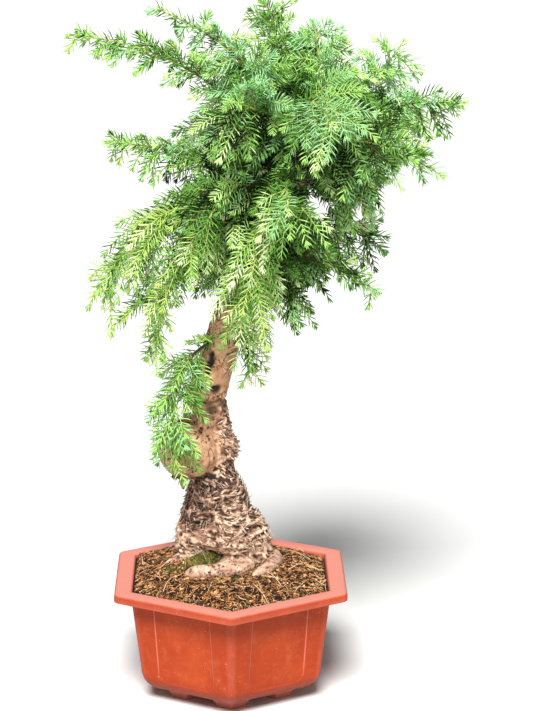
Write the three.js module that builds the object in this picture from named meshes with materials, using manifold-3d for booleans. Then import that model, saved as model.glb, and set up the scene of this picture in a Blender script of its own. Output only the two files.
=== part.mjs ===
// A hoop pine grown as a bonsai in a six-sided plastic pot.
// Millimetres, +Z up. The pot stands on z = 0 and one of its corners points to the front, along -Y.
// Places are measured from the middle of the pot; the whole plant is moved once, at the end.

import * as THREE from 'three';
import { mergeVertices } from 'three/addons/utils/BufferGeometryUtils.js';
import Module from 'manifold-3d';

const wasm = await Module();
wasm.setup();

// Driving dimensions

const GAP = 0.3; // clearance between neighbouring solids
const FINEST = [0.45, 0.35, 0.25, 0.15, 0.08]; // smoothing of fused foliage: the first that leaves a sound skin
const UP = new THREE.Vector3(0, 0, 1);

// Half widths are measured square to the flats of the hexagon.
const POT = {
  height: 174,
  wall: 3,
  rimHalf: 167, // outside of the rim
  rimDepth: 12, // height of the lip that hangs from the rim
  rimRound: 4,
  shoulderHalf: 144, // body right under the rim
  waistHalf: 130, // body where it starts to round in to the base
  waistHeight: 54,
  baseHalf: 96,
  baseHeight: 16,
  cornerRadius: 9,
  cornerSteps: 2,
};

const PANEL = { depth: 1.4, width: 92, bottom: 40, cornerRadius: 14 };

const FOOT = {
  cornerReach: 104, // from the middle of the pot to the outer corner of the foot
  upper: { leg: 30, width: 20, bottom: 7 },
  lower: { leg: 26, width: 15, bottom: 0, inset: 3 },
};

const SOIL = { clearance: 0.5, edgeHeight: 166, groundHeight: 185 };
const PLATEAU = { x: -8, y: 4, radius: 92 }; // level patch round the trunk's foot

// Middle and radius of the trunk at a few heights, from the cut at the ground to the tip.
const TRUNK = [
  { x: -10, y: 8, z: 185, r: 66 },
  { x: -12, y: 8, z: 215, r: 66 },
  { x: -13, y: 8, z: 245, r: 62 },
  { x: -19, y: 8, z: 272, r: 48 },
  { x: -20, y: 8, z: 297, r: 41 },
  { x: -23, y: 7, z: 322, r: 32 },
  { x: -29, y: 6, z: 365, r: 33 },
  { x: -36, y: 5, z: 418, r: 32 },
  { x: -29, y: 4, z: 460, r: 29 },
  { x: -14, y: 3, z: 508, r: 27 },
  { x: -1, y: 2, z: 555, r: 25 },
  { x: 13, y: 2, z: 600, r: 21 },
  { x: 27, y: 4, z: 645, r: 18 },
  { x: 45, y: 6, z: 688, r: 16 },
  { x: 72, y: 6, z: 732, r: 14 },
  { x: 94, y: 4, z: 778, r: 11 },
  { x: 106, y: 2, z: 820, r: 8.5 },
  { x: 109, y: 1, z: 854, r: 6 },
];
const TRUNK_SIDES = 13;
const TRUNK_RINGS = 26;
const FLARE = { lobes: 5, depth: 0.1, turn: 0.7, top: 300, flat: 0.4 }; // flat: narrower from front to back
const BURLS = [
  { x: -60, y: -12, z: 367, radius: 44 },
  { x: -20, y: 2, z: 362, radius: 30 },
];

// Surface roots: a path on the ground seen from above, and the radius at its two ends.
const ROOTS = [
  { path: [[34, -10], [28, -44], [-12, -58], [-56, -58]], from: 14, to: 11 },
  { path: [[48, 24], [74, 4], [68, -36], [40, -66]], from: 13, to: 8 },
  { path: [[-44, 10], [-66, -2], [-84, -16]], from: 14, to: 7 },
  { path: [[-34, 30], [-58, 52], [-66, 72]], from: 15, to: 8 },
  { path: [[22, 36], [38, 60], [40, 80]], from: 15, to: 8 },
];

// A bough: the height at which it leaves the trunk, its tip and the radius at both ends.
const limbTo = (leaves, tip, from, to) => ({ leaves, tip, from, to });
const BOUGHS = {
  upper_left_bough: limbTo(764, [20, -10, 858], 8, 4.5),
  crown_left_bough: limbTo(792, [60, -30, 874], 6, 4),
  second_left_bough: limbTo(802, [50, 8, 892], 6, 4),
  top_left_bough: limbTo(828, [84, -6, 896], 5, 4),
  top_right_bough: limbTo(820, [118, -18, 892], 5, 4),
  upper_right_bough: limbTo(804, [146, 4, 858], 6, 4),
  right_bough: limbTo(782, [160, -6, 840], 7, 4.5),
  right_low_bough: limbTo(716, [150, -24, 786], 8, 4.5),
  front_upper_bough: limbTo(810, [104, -60, 870], 6, 4),
  front_left_bough: limbTo(783, [66, -58, 846], 7, 4.5),
  front_right_bough: limbTo(760, [136, -62, 816], 7, 4.5),
  front_middle_bough: limbTo(736, [76, -62, 772], 7, 4.5),
  front_low_bough: limbTo(718, [44, -50, 758], 7, 4.5),
  left_mid_bough: limbTo(726, [8, -8, 778], 9, 4.5),
  left_high_bough: limbTo(698, [-4, -32, 746], 8, 4.5),
  left_low_bough: limbTo(670, [-8, -16, 726], 10, 5),
  left_front_bough: limbTo(684, [4, -56, 722], 8, 4.5),
  low_right_bough: limbTo(646, [92, -2, 684], 9, 4.5),
  low_hang_bough: limbTo(624, [76, -40, 660], 9, 4.5),
  low_front_bough: limbTo(708, [52, -60, 736], 7, 4.5),
  low_middle_bough: limbTo(604, [52, -46, 640], 8, 4.5),
  back_top_bough: limbTo(812, [100, 58, 870], 6, 4),
  back_left_bough: limbTo(746, [40, 56, 810], 8, 4.5),
  back_right_bough: limbTo(754, [140, 56, 812], 8, 4.5),
  back_mid_bough: limbTo(710, [74, 68, 760], 8, 4.5),
  back_low_bough: limbTo(652, [24, 56, 696], 9, 4.5),
  back_low_right_bough: limbTo(632, [80, 50, 672], 9, 4.5),
};
const BOUGH_RISE = 8; // how far the middle of a bough bows up
const BOUGH_SIDES = 5;
const BOUGH_STEPS = 2;

// A mass of foliage: the bough that carries it or a height on the trunk, the furthest tip of its stem, how
// far the stem runs straight ahead first, its side sprays, their length, half width and how far they hang.
const leafy = (on, tip, ahead, sprays, length, half, hang) => ({ on, tip, ahead, sprays, length, half, hang });
const MASSES = {
  upper_left_foliage: leafy('upper_left_bough', [-224, -30, 961], 0.58, 9, 30, 16, 0.15),
  crown_left_foliage: leafy('crown_left_bough', [-5, -60, 964], 0.5, 7, 58, 24, 0.3),
  second_left_foliage: leafy('second_left_bough', [-99, 20, 993], 0.5, 8, 38, 15, 0.4),
  top_left_foliage: leafy('top_left_bough', [69, 2, 1000], 0.5, 7, 58, 26, 0.15),
  top_right_foliage: leafy('top_right_bough', [116, -28, 980], 0.5, 7, 44, 24, 0.2),
  upper_right_foliage: leafy('upper_right_bough', [244, 10, 950], 0.5, 8, 60, 23, 0.5),
  right_foliage: leafy('right_bough', [327, -10, 860], 0.5, 8, 44, 16, 0.4),
  right_low_foliage: leafy('right_low_bough', [281, -44, 778], 0.5, 7, 40, 20, 0.1),
  front_upper_foliage: leafy('front_upper_bough', [140, -196, 858], 0.5, 7, 84, 30, 0.35),
  front_left_foliage: leafy('front_left_bough', [-4, -150, 890], 0.5, 7, 82, 30, 0.35),
  front_right_foliage: leafy('front_right_bough', [214, -160, 826], 0.5, 7, 78, 30, 0.1),
  front_middle_foliage: leafy('front_middle_bough', [78, -190, 742], 0.5, 7, 80, 30, 0.4),
  front_low_foliage: leafy('front_low_bough', [-48, -136, 736], 0.5, 6, 70, 26, 0.4),
  left_mid_foliage: leafy('left_mid_bough', [-174, -30, 814], 0.56, 8, 40, 17, 0.4),
  left_high_foliage: leafy('left_high_bough', [-140, -96, 640], 0.45, 8, 64, 24, 0.4),
  left_low_foliage: leafy('left_low_bough', [-180, -46, 600], 0.52, 9, 66, 20, 0.5),
  left_front_foliage: leafy('left_front_bough', [-107, -92, 518], 0.6, 6, 40, 19, 0.45),
  low_right_foliage: leafy('low_right_bough', [224, -8, 674], 0.5, 7, 46, 19, 0.25),
  low_hang_foliage: leafy('low_hang_bough', [206, -56, 602], 0.5, 7, 32, 18, 0.2),
  low_front_foliage: leafy('low_front_bough', [24, -110, 562], 0.5, 7, 70, 28, 0.4),
  low_middle_foliage: leafy('low_middle_bough', [84, -92, 576], 0.5, 5, 36, 18, 0.2),
  low_left_foliage: leafy(640, [-150, -72, 572], 0.55, 7, 50, 19, 0.5),
  trunk_left_foliage: leafy(526, [-74, -66, 346], 0.65, 7, 42, 18, 0.2),
  trunk_right_foliage: leafy(548, [28, -50, 474], 0.5, 3, 36, 12, 0.3),
  back_top_foliage: leafy('back_top_bough', [84, 166, 932], 0.5, 6, 82, 30, 0.25),
  back_left_foliage: leafy('back_left_bough', [-30, 172, 800], 0.5, 6, 76, 30, 0.35),
  back_right_foliage: leafy('back_right_bough', [262, 158, 810], 0.5, 6, 82, 30, 0.35),
  back_mid_foliage: leafy('back_mid_bough', [96, 204, 732], 0.5, 6, 82, 30, 0.4),
  back_low_foliage: leafy('back_low_bough', [-54, 150, 610], 0.5, 6, 74, 28, 0.4),
  back_low_right_foliage: leafy('back_low_right_bough', [140, 150, 604], 0.5, 6, 66, 28, 0.3),
};
const TRUNK_RISE = 4; // how a stem that leaves the trunk itself rises on its way
const CROWN = { middle: 760, height: 200, lowest: -0.2, highest: 0.8, front: 30, turn: 0.9 };
const STEM = { from: 3.4, to: 1.4, sides: 3, steps: 5, end: 0.82 };
const SPRAY = {
  first: 0.06, // share of the stem before the first side spray
  last: 0.76,
  spread: 0.95, // angle to the stem, in radians
  lift: 0.6,
  droop: 1,
  taper: 0.75, // how much shorter the sprays get along the stem
  bare: 0.2, // share of a spray before its first tooth
  tipStart: 0.66,
  toothPitch: 36,
  teethMin: 2,
  teethMax: 3,
};
const BLADE = { sweep: 1.1, rib: 2.6, thickness: 1.4, apex: 14, tipHalf: 17 };
const SPACE = { own: 1.5, limb: 3, apart: 12, trims: [1, 0.8, 0.62, 0.48] };
const SEED = 41;

// Solids and small helpers

function seeded(seed) {
  let state = (seed * 2654435761) >>> 0;
  return () => {
    state = (Math.imul(state, 1664525) + 1013904223) >>> 0;
    return state / 4294967296;
  };
}

function solidOf(geometry) {
  const bare = geometry.clone();
  bare.deleteAttribute('normal');
  bare.deleteAttribute('uv');
  const merged = mergeVertices(bare, 1e-4);
  const vertProperties = new Float32Array(merged.attributes.position.array);
  const triVerts = new Uint32Array(merged.index.array);
  return new wasm.Manifold(new wasm.Mesh({ numProp: 3, vertProperties, triVerts }));
}

function geometryOf(solid) {
  const mesh = solid.getMesh();
  const geometry = new THREE.BufferGeometry();
  geometry.setAttribute('position', new THREE.BufferAttribute(new Float32Array(mesh.vertProperties), 3));
  geometry.setIndex(new THREE.BufferAttribute(new Uint32Array(mesh.triVerts), 1));
  const flat = geometry.toNonIndexed();
  flat.computeVertexNormals();
  return flat;
}

function fuse(solids) {
  return solids.reduce((all, solid) => all.add(solid));
}

// The largest outer skin alone: loose scraps are dropped and sealed hollows are filled.
function oneBody(solid) {
  const bodies = solid.decompose();
  return bodies.reduce((best, body) => (body.volume() > best.volume() ? body : best));
}

// Whether every edge of the skin belongs to just two faces once very close points are one.
function isSound(solid) {
  const flat = geometryOf(solid).attributes.position.array;
  const corners = [];
  for (let i = 0; i < flat.length; i += 3) {
    corners.push([flat[i], flat[i + 1], flat[i + 2]].map((value) => Math.round(value * 1000)).join());
  }
  const uses = new Map();
  for (let i = 0; i < corners.length; i += 3) {
    for (const [a, b] of [[0, 1], [1, 2], [2, 0]]) {
      const edge = [corners[i + a], corners[i + b]].sort().join(' ');
      uses.set(edge, (uses.get(edge) ?? 0) + 1);
    }
  }
  return [...uses.values()].every((count) => count === 2);
}

function smoothed(solid) {
  const choices = FINEST.map((finest) => solid.asOriginal().simplify(finest));
  return choices.find(isSound) ?? solid;
}

function skin(points, faces) {
  const geometry = new THREE.BufferGeometry().setFromPoints(points);
  geometry.setIndex(faces.flat());
  return geometry;
}

// A closed skin through rings of the same number of points, with a flat fan at each end.
function loft(rings) {
  const count = rings[0].length;
  const points = rings.flat();
  const faces = [];
  for (let k = 0; k + 1 < rings.length; k++) {
    for (let i = 0; i < count; i++) {
      const a = k * count + i;
      const b = k * count + ((i + 1) % count);
      faces.push([a, b, b + count], [a, b + count, a + count]);
    }
  }
  const first = points.length;
  const top = (rings.length - 1) * count;
  const middle = (ring) => ring.reduce((sum, p) => sum.add(p), new THREE.Vector3()).divideScalar(count);
  points.push(middle(rings[0]), middle(rings[rings.length - 1]));
  for (let i = 0; i < count; i++) {
    const j = (i + 1) % count;
    faces.push([first, j, i], [first + 1, top + i, top + j]);
  }
  return skin(points, faces);
}

// A tapering limb along a curve, with flat ends square to it.
function limb(curve, from, to, sides, steps, end = 1) {
  const frames = curve.computeFrenetFrames(steps);
  const rings = [];
  for (let k = 0; k <= steps; k++) {
    const middle = curve.getPointAt((end * k) / steps);
    const radius = THREE.MathUtils.lerp(from, to, k / steps);
    const ring = [];
    for (let i = 0; i < sides; i++) {
      const angle = (2 * Math.PI * i) / sides;
      const across = frames.normals[k].clone().multiplyScalar(Math.cos(angle) * radius);
      const over = frames.binormals[k].clone().multiplyScalar(Math.sin(angle) * radius);
      ring.push(middle.clone().add(across).add(over));
    }
    rings.push(ring);
  }
  return loft(rings);
}

function bow(start, end, rise) {
  const middle = start.clone().lerp(end, 0.5).addScaledVector(UP, 2 * rise);
  return new THREE.QuadraticBezierCurve3(start, middle, end);
}

// Pot

// One turn of a hexagon with rounded corners, a corner to the front.
function hexagon(half, radius, z) {
  const ring = [];
  const reach = ((half - radius) * 2) / Math.sqrt(3);
  for (let corner = 0; corner < 6; corner++) {
    const facing = -Math.PI / 2 + (corner * Math.PI) / 3;
    for (let i = 0; i <= POT.cornerSteps; i++) {
      const angle = facing + ((i / POT.cornerSteps - 0.5) * Math.PI) / 3;
      const x = reach * Math.cos(facing) + radius * Math.cos(angle);
      const y = reach * Math.sin(facing) + radius * Math.sin(angle);
      ring.push(new THREE.Vector3(x, y, z));
    }
  }
  return ring;
}

// Half width of the outside of the body at a height, and of its inside.
function bodyHalf(z) {
  if (z >= POT.waistHeight) {
    const climb = (z - POT.waistHeight) / (POT.height - POT.wall - POT.waistHeight);
    return THREE.MathUtils.lerp(POT.waistHalf, POT.shoulderHalf, climb);
  }
  const drop = (POT.waistHeight - z) / (POT.waistHeight - POT.baseHeight);
  return POT.baseHalf + (POT.waistHalf - POT.baseHalf) * Math.sqrt(1 - drop * drop);
}

function insideHalf(z) {
  return bodyHalf(z) - POT.wall;
}

const roundedHeights = [0.06, 0.22, 0.5, 1].map((share) => {
  return THREE.MathUtils.lerp(POT.baseHeight, POT.waistHeight, share);
});
const insideHeights = [...roundedHeights.slice(1).reverse(), POT.baseHeight + POT.wall];

function potShell() {
  const rings = [];
  const corner = POT.cornerRadius;
  const underRim = POT.height - POT.wall;
  const lipFoot = POT.height - POT.rimDepth;
  rings.push(hexagon(POT.baseHalf, corner, POT.baseHeight));
  for (const z of [...roundedHeights, underRim]) {
    rings.push(hexagon(bodyHalf(z), corner, z));
  }
  rings.push(hexagon(POT.rimHalf - POT.wall, corner, underRim));
  rings.push(hexagon(POT.rimHalf - POT.wall, corner, lipFoot));
  rings.push(hexagon(POT.rimHalf, corner + POT.wall, lipFoot));
  for (const turn of [0, 0.5, 1]) {
    const angle = (turn * Math.PI) / 2;
    const half = POT.rimHalf - POT.rimRound * (1 - Math.cos(angle));
    rings.push(hexagon(half, corner + POT.wall, POT.height - POT.rimRound * (1 - Math.sin(angle))));
  }
  for (const turn of [1, 0.5, 0]) {
    const angle = (turn * Math.PI) / 2;
    const half = insideHalf(underRim) + POT.rimRound * (1 - Math.cos(angle));
    rings.push(hexagon(half, corner - POT.wall, POT.height - POT.rimRound * (1 - Math.sin(angle))));
  }
  for (const z of insideHeights) {
    rings.push(hexagon(insideHalf(z), corner - POT.wall, z));
  }
  return solidOf(loft(rings));
}

// A shallow panel in the face of the body that looks towards an angle, up to the rim.
function panelCut(facing) {
  const top = POT.height - POT.rimDepth;
  const lean = Math.atan2(bodyHalf(top) - bodyHalf(PANEL.bottom), top - PANEL.bottom);
  const tall = (top - PANEL.bottom) / Math.cos(lean);
  const side = PANEL.width / 2;
  const round = PANEL.cornerRadius;
  const outline = new THREE.Shape();
  outline.moveTo(-side, tall);
  outline.lineTo(-side, round);
  outline.absarc(-side + round, round, round, Math.PI, 1.5 * Math.PI, false);
  outline.absarc(side - round, round, round, 1.5 * Math.PI, 2 * Math.PI, false);
  outline.lineTo(side, tall);
  const slab = new THREE.ExtrudeGeometry(outline, { depth: 10, bevelEnabled: false, curveSegments: 3 });
  slab.translate(0, 0, -PANEL.depth);
  slab.rotateX(Math.PI / 2 + lean);
  slab.rotateZ(facing + Math.PI / 2);
  const half = bodyHalf(PANEL.bottom);
  slab.translate(half * Math.cos(facing), half * Math.sin(facing), PANEL.bottom);
  return solidOf(slab);
}

// One tier of a foot: an angle piece that follows both edges of the base at a corner.
function footTier(facing, leg, width, inset, bottom) {
  const reach = FOOT.cornerReach - inset;
  const along = [-0.5, Math.sqrt(3) / 2];
  const inward = (width * 2) / Math.sqrt(3);
  const outline = new THREE.Shape();
  outline.moveTo(reach, 0);
  outline.lineTo(reach + leg * along[0], leg * along[1]);
  outline.lineTo(reach + leg * along[0] - inward, leg * along[1]);
  outline.lineTo(reach - inward, 0);
  outline.lineTo(reach + leg * along[0] - inward, -leg * along[1]);
  outline.lineTo(reach + leg * along[0], -leg * along[1]);
  const depth = POT.baseHeight + 2 - bottom;
  const tier = new THREE.ExtrudeGeometry(outline, { depth, bevelEnabled: false });
  tier.translate(0, 0, bottom);
  tier.rotateZ(facing);
  return solidOf(tier);
}

function potSolid() {
  let pot = potShell();
  for (let k = 0; k < 6; k++) {
    const corner = -Math.PI / 2 + (k * Math.PI) / 3;
    const { upper, lower } = FOOT;
    pot = pot.subtract(panelCut(corner + Math.PI / 6));
    pot = pot.add(footTier(corner, upper.leg, upper.width, 0, upper.bottom));
    pot = pot.add(footTier(corner, lower.leg, lower.width, lower.inset, lower.bottom));
  }
  return pot;
}

// Soil: fills the pot just clear of its wall and rises in a low mound to a level patch at the trunk.
function soilSolid() {
  const corner = POT.cornerRadius - POT.wall - GAP;
  const rings = [];
  for (const z of [...[...insideHeights].reverse(), SOIL.edgeHeight]) {
    const height = Math.max(z, POT.baseHeight + POT.wall + GAP);
    rings.push(hexagon(insideHalf(z) - SOIL.clearance, corner, height));
  }
  const edge = rings[rings.length - 1];
  for (const inward of [0.2, 0.45, 0.72, 1]) {
    const rise = Math.sin((inward * Math.PI) / 2);
    const height = THREE.MathUtils.lerp(SOIL.edgeHeight, SOIL.groundHeight, rise);
    rings.push(
      edge.map((p) => {
        const angle = Math.atan2(p.y, p.x);
        const x = PLATEAU.x + PLATEAU.radius * Math.cos(angle);
        const y = PLATEAU.y + PLATEAU.radius * Math.sin(angle);
        return new THREE.Vector3(
          THREE.MathUtils.lerp(p.x, x, inward),
          THREE.MathUtils.lerp(p.y, y, inward),
          height,
        );
      }),
    );
  }
  return solidOf(loft(rings));
}

// Trunk

const trunkLine = new THREE.CatmullRomCurve3(
  TRUNK.map((s) => new THREE.Vector3(s.x, s.y, s.z)),
  false,
  'catmullrom',
);
const trunkGirth = new THREE.CatmullRomCurve3(
  TRUNK.map((s) => new THREE.Vector3(s.r, 0, 0)),
  false,
  'catmullrom',
);

// Middle and radius of the trunk at a height.
function trunkAt(height) {
  let low = 0;
  let high = 1;
  for (let i = 0; i < 30; i++) {
    const half = (low + high) / 2;
    if (trunkLine.getPoint(half).z < height) low = half;
    else high = half;
  }
  return { middle: trunkLine.getPoint(low), radius: trunkGirth.getPoint(low).x };
}

function trunkStem(grow) {
  const rings = [];
  for (let k = 0; k <= TRUNK_RINGS; k++) {
    const middle = trunkLine.getPoint(k / TRUNK_RINGS);
    if (k === TRUNK_RINGS) middle.z += grow;
    const radius = trunkGirth.getPoint(k / TRUNK_RINGS).x + grow;
    const fade = THREE.MathUtils.clamp((FLARE.top - middle.z) / (FLARE.top - SOIL.groundHeight), 0, 1);
    const ring = [];
    for (let i = 0; i < TRUNK_SIDES; i++) {
      const angle = (2 * Math.PI * i) / TRUNK_SIDES;
      const lobe = 1 + FLARE.depth * fade * Math.cos(FLARE.lobes * angle + FLARE.turn);
      const x = middle.x + radius * lobe * Math.cos(angle);
      const y = middle.y + radius * lobe * Math.sin(angle) * (1 - FLARE.flat * fade);
      ring.push(new THREE.Vector3(x, y, middle.z));
    }
    rings.push(ring);
  }
  return solidOf(loft(rings));
}

function trunkSolid() {
  const burls = BURLS.map(({ x, y, z, radius }) => {
    return solidOf(new THREE.SphereGeometry(radius, 12, 8).translate(x, y, z));
  });
  const ground = SOIL.groundHeight + GAP;
  const roots = ROOTS.map(({ path, from, to }) => {
    const foot = TRUNK[0];
    const places = path.map(([x, y], i) => {
      const sink = i === path.length - 1 ? 0.2 : 0.65;
      return new THREE.Vector3(foot.x + x, foot.y + y, ground + sink * to);
    });
    return solidOf(limb(new THREE.CatmullRomCurve3(places), from, to, 7, 5));
  });
  const block = new THREE.BoxGeometry(400, 400, 100);
  block.translate(0, 0, ground - 50);
  return smoothed(oneBody(fuse([trunkStem(0), ...burls, ...roots]).subtract(solidOf(block))));
}

// Boughs

const boughLines = {};
for (const [name, bough] of Object.entries(BOUGHS)) {
  boughLines[name] = bow(trunkAt(bough.leaves).middle, new THREE.Vector3(...bough.tip), BOUGH_RISE);
}

function boughLimb(name, grow) {
  const { from, to } = BOUGHS[name];
  return solidOf(limb(boughLines[name], from + grow, to + grow, BOUGH_SIDES, BOUGH_STEPS));
}

// A bough starts clear of the trunk, and clear of the earlier boughs that leave close beside it.
function boughSolid(name, limbsGrown) {
  return oneBody(limbsGrown.reduce((rest, grown) => rest.subtract(grown), boughLimb(name, 0)));
}

// Masses of foliage

// The stem of a mass sets out straight ahead from the tip of its bough, or out of the trunk, and
// then bends towards its own tip.
const stemLines = {};
for (const [name, mass] of Object.entries(MASSES)) {
  const tip = new THREE.Vector3(...mass.tip);
  const bough = boughLines[mass.on];
  const start = bough ? bough.getPointAt(1) : trunkAt(mass.on).middle;
  const out = new THREE.Vector3(tip.x - start.x, tip.y - start.y, TRUNK_RISE).normalize();
  const ahead = bough ? bough.getTangentAt(1) : out;
  start.addScaledVector(ahead, GAP);
  const bend = start.clone().addScaledVector(ahead, mass.ahead * start.distanceTo(tip));
  stemLines[name] = new THREE.QuadraticBezierCurve3(start, bend, tip);
}
const stemPlaces = {};
for (const [name, line] of Object.entries(stemLines)) {
  stemPlaces[name] = line.getSpacedPoints(10);
}
const boughPlaces = Object.entries(boughLines).map(([name, line]) => {
  return { places: line.getSpacedPoints(8), radius: BOUGHS[name].from };
});

function distanceTo(places, point) {
  const near = new THREE.Vector3();
  let best = Infinity;
  for (let i = 0; i + 1 < places.length; i++) {
    new THREE.Line3(places[i], places[i + 1]).closestPointToPoint(point, true, near);
    best = Math.min(best, near.distanceTo(point));
  }
  return best;
}

// Where the flat side of the foliage looks: away from the trunk, more to the front and back than to
// the sides, up near the top of the crown and a little down near its bottom.
function facingAt(point) {
  const trunk = trunkAt(point.z).middle;
  const away = new THREE.Vector3(point.x - trunk.x, point.y - trunk.y, 0).normalize();
  const rise = THREE.MathUtils.clamp((point.z - CROWN.middle) / CROWN.height, CROWN.lowest, CROWN.highest);
  const turn = point.y > CROWN.front ? CROWN.turn : -CROWN.turn;
  return away.add(new THREE.Vector3(0, turn, rise)).normalize();
}

// A place belongs to a mass when its own stem is the nearest one and no limb is close.
function inOwnSpace(name, point) {
  const own = distanceTo(stemPlaces[name], point);
  for (const [other, places] of Object.entries(stemPlaces)) {
    if (other !== name && distanceTo(places, point) < own + 2 * SPACE.own) return false;
  }
  for (const { places, radius } of boughPlaces) {
    if (distanceTo(places, point) < radius + SPACE.limb) return false;
  }
  const trunk = trunkAt(point.z);
  const aside = Math.hypot(point.x - trunk.middle.x, point.y - trunk.middle.y);
  if (aside < trunk.radius + SPACE.limb) return false;
  return BURLS.every((burl) => point.distanceTo(burl) > burl.radius + SPACE.limb);
}

// The rib of a spray leaves its root along a heading and bends down as it goes.
function ribPlace(spray, share) {
  const place = spray.root.clone().addScaledVector(spray.heading, spray.length * share);
  return place.addScaledVector(UP, -spray.length * spray.hang * share * share);
}

function ribHeading(spray, share) {
  return spray.heading.clone().addScaledVector(UP, -2 * spray.hang * share).normalize();
}

// Across the spray, so that its flat side looks out of the crown.
function ribSide(spray, share) {
  return ribHeading(spray, share).cross(facingAt(ribPlace(spray, share))).normalize();
}

// Half width of a spray, widest a third of the way along.
function reachAt(half, share) {
  return half * (0.86 + 0.8 * share - 1.2 * share * share);
}

// Sprays of one mass keep apart from each other once they are clear of the stem.
function clearOf(spray, others) {
  const places = [0.45, 0.7, 1].map((share) => ribPlace(spray, share));
  return others.every((other) => {
    const rib = [0.35, 0.7, 1].map((share) => ribPlace(other, share));
    return places.every((place) => distanceTo(rib, place) > SPACE.apart);
  });
}

function sprayFits(name, spray) {
  for (const share of [0.3, 0.5, 0.75, 1]) {
    const rib = ribPlace(spray, share);
    const side = ribSide(spray, share).multiplyScalar(reachAt(spray.half, share));
    if (![rib, rib.clone().add(side), rib.clone().sub(side)].every((p) => inOwnSpace(name, p))) return false;
  }
  return true;
}

// Side sprays leave the stem by turns to its left and right and lean out of the crown.
function spraysOf(name, index) {
  const mass = MASSES[name];
  const line = stemLines[name];
  const random = seeded(SEED + index);
  const tipLength = line.getLength() * (1 - SPRAY.tipStart);
  const tipRoot = line.getPointAt(SPRAY.tipStart);
  const tip = { root: tipRoot, heading: line.getTangentAt(0.9), length: tipLength, hang: 0 };
  const sprays = [];
  for (let i = 0; i < mass.sprays; i++) {
    const along = SPRAY.first + ((SPRAY.last - SPRAY.first) * (i + 0.6 * random())) / (mass.sprays - 0.4);
    const root = line.getPointAt(along);
    const forward = line.getTangentAt(along);
    const outward = facingAt(root);
    const across = forward.clone().cross(outward).normalize();
    const hand = i % 2 === 0 ? 1 : -1;
    const spread = SPRAY.spread + 0.35 * (random() - 0.5);
    const lift = SPRAY.lift * (1.6 * random() - 0.5);
    const length = mass.length * (1.3 - SPRAY.taper * along) * (0.85 + 0.3 * random());
    const choices = [hand, -hand].flatMap((turn) => {
      const heading = forward.clone().multiplyScalar(Math.cos(spread));
      heading.addScaledVector(across, turn * Math.sin(spread)).addScaledVector(outward, lift);
      heading.addScaledVector(UP, -SPRAY.droop * mass.hang).normalize();
      return SPACE.trims.map((trim) => ({
        root,
        heading,
        length: length * trim,
        half: mass.half * Math.sqrt(trim) * (1.15 - 0.4 * along),
        hang: mass.hang * trim,
      }));
    });
    const spray = choices.find((choice) => clearOf(choice, [tip, ...sprays]) && sprayFits(name, choice));
    if (spray) sprays.push(spray);
  }
  return sprays;
}

// A toothed blade with a ridge along both faces and a bare stalk before the first tooth.
// Ribs are places along its middle, sides point across it and half is its half width.
function blade(ribs, sides, half) {
  const last = ribs.length - 1;
  const points = [];
  const faces = [];
  const end = ribs[last].clone().sub(ribs[last - 1]).normalize();
  for (let k = 0; k <= last; k++) {
    const share = k / last;
    const ahead = k < last ? ribs[k + 1].clone().sub(ribs[k]) : end.clone();
    const side = sides[k];
    const normal = ahead.clone().cross(side).normalize();
    const rib = BLADE.rib * (1 - 0.55 * share);
    const thick = BLADE.thickness * (1 - 0.45 * share);
    points.push(
      ribs[k].clone().addScaledVector(normal, thick),
      ribs[k].clone().addScaledVector(normal, -thick),
      ribs[k].clone().addScaledVector(side, rib),
      ribs[k].clone().addScaledVector(side, -rib),
    );
  }
  faces.push([0, 2, 1], [0, 1, 3]);
  faces.push([0, 4, 6], [0, 6, 2], [1, 2, 6], [1, 6, 5]);
  faces.push([0, 7, 4], [0, 3, 7], [1, 7, 3], [1, 5, 7]);
  for (let k = 1; k < last; k++) {
    const [top, under, left, right] = [0, 1, 2, 3].map((i) => 4 * k + i);
    const [nextTop, nextUnder, nextLeft, nextRight] = [4, 5, 6, 7].map((i) => 4 * k + i);
    const tip = ribs[k].clone().lerp(ribs[k + 1], BLADE.sweep);
    const reach = reachAt(half, k / last);
    const leftTip = points.length;
    const rightTip = leftTip + 1;
    points.push(tip.clone().addScaledVector(sides[k], reach), tip.clone().addScaledVector(sides[k], -reach));
    faces.push([top, leftTip, left], [top, nextLeft, leftTip], [top, nextTop, nextLeft]);
    faces.push([under, left, leftTip], [under, leftTip, nextLeft], [under, nextLeft, nextUnder]);
    faces.push([top, right, rightTip], [top, rightTip, nextRight], [top, nextRight, nextTop]);
    faces.push([under, rightTip, right], [under, nextRight, rightTip], [under, nextUnder, nextRight]);
  }
  const [top, under, left, right] = [0, 1, 2, 3].map((i) => 4 * last + i);
  const apex = points.length;
  points.push(ribs[last].clone().addScaledVector(end, BLADE.apex));
  faces.push([top, apex, left], [left, apex, under], [under, apex, right], [right, apex, top]);
  return solidOf(skin(points, faces));
}

function sprayBlade(spray) {
  const wanted = Math.round(spray.length / SPRAY.toothPitch);
  const teeth = THREE.MathUtils.clamp(wanted, SPRAY.teethMin, SPRAY.teethMax);
  const shares = [0];
  for (let k = 0; k <= teeth; k++) {
    shares.push(THREE.MathUtils.lerp(SPRAY.bare, 1, k / teeth));
  }
  return blade(
    shares.map((share) => ribPlace(spray, share)),
    shares.map((share) => ribSide(spray, share)),
    spray.half,
  );
}

// The spray that ends the stem follows the stem itself out to the tip of the mass.
function tipBlade(line) {
  const steps = SPRAY.teethMax;
  const ribs = [];
  const sides = [];
  const end = 1 - BLADE.apex / line.getLength();
  for (let k = 0; k <= steps; k++) {
    const along = THREE.MathUtils.lerp(SPRAY.tipStart, end, k / steps);
    const place = line.getPointAt(along);
    const facing = new THREE.Vector3(0, place.y > 40 ? 1 : -1, 0.7);
    ribs.push(place);
    sides.push(line.getTangentAt(along).cross(facing).normalize());
  }
  return blade(ribs, sides, BLADE.tipHalf);
}

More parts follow.
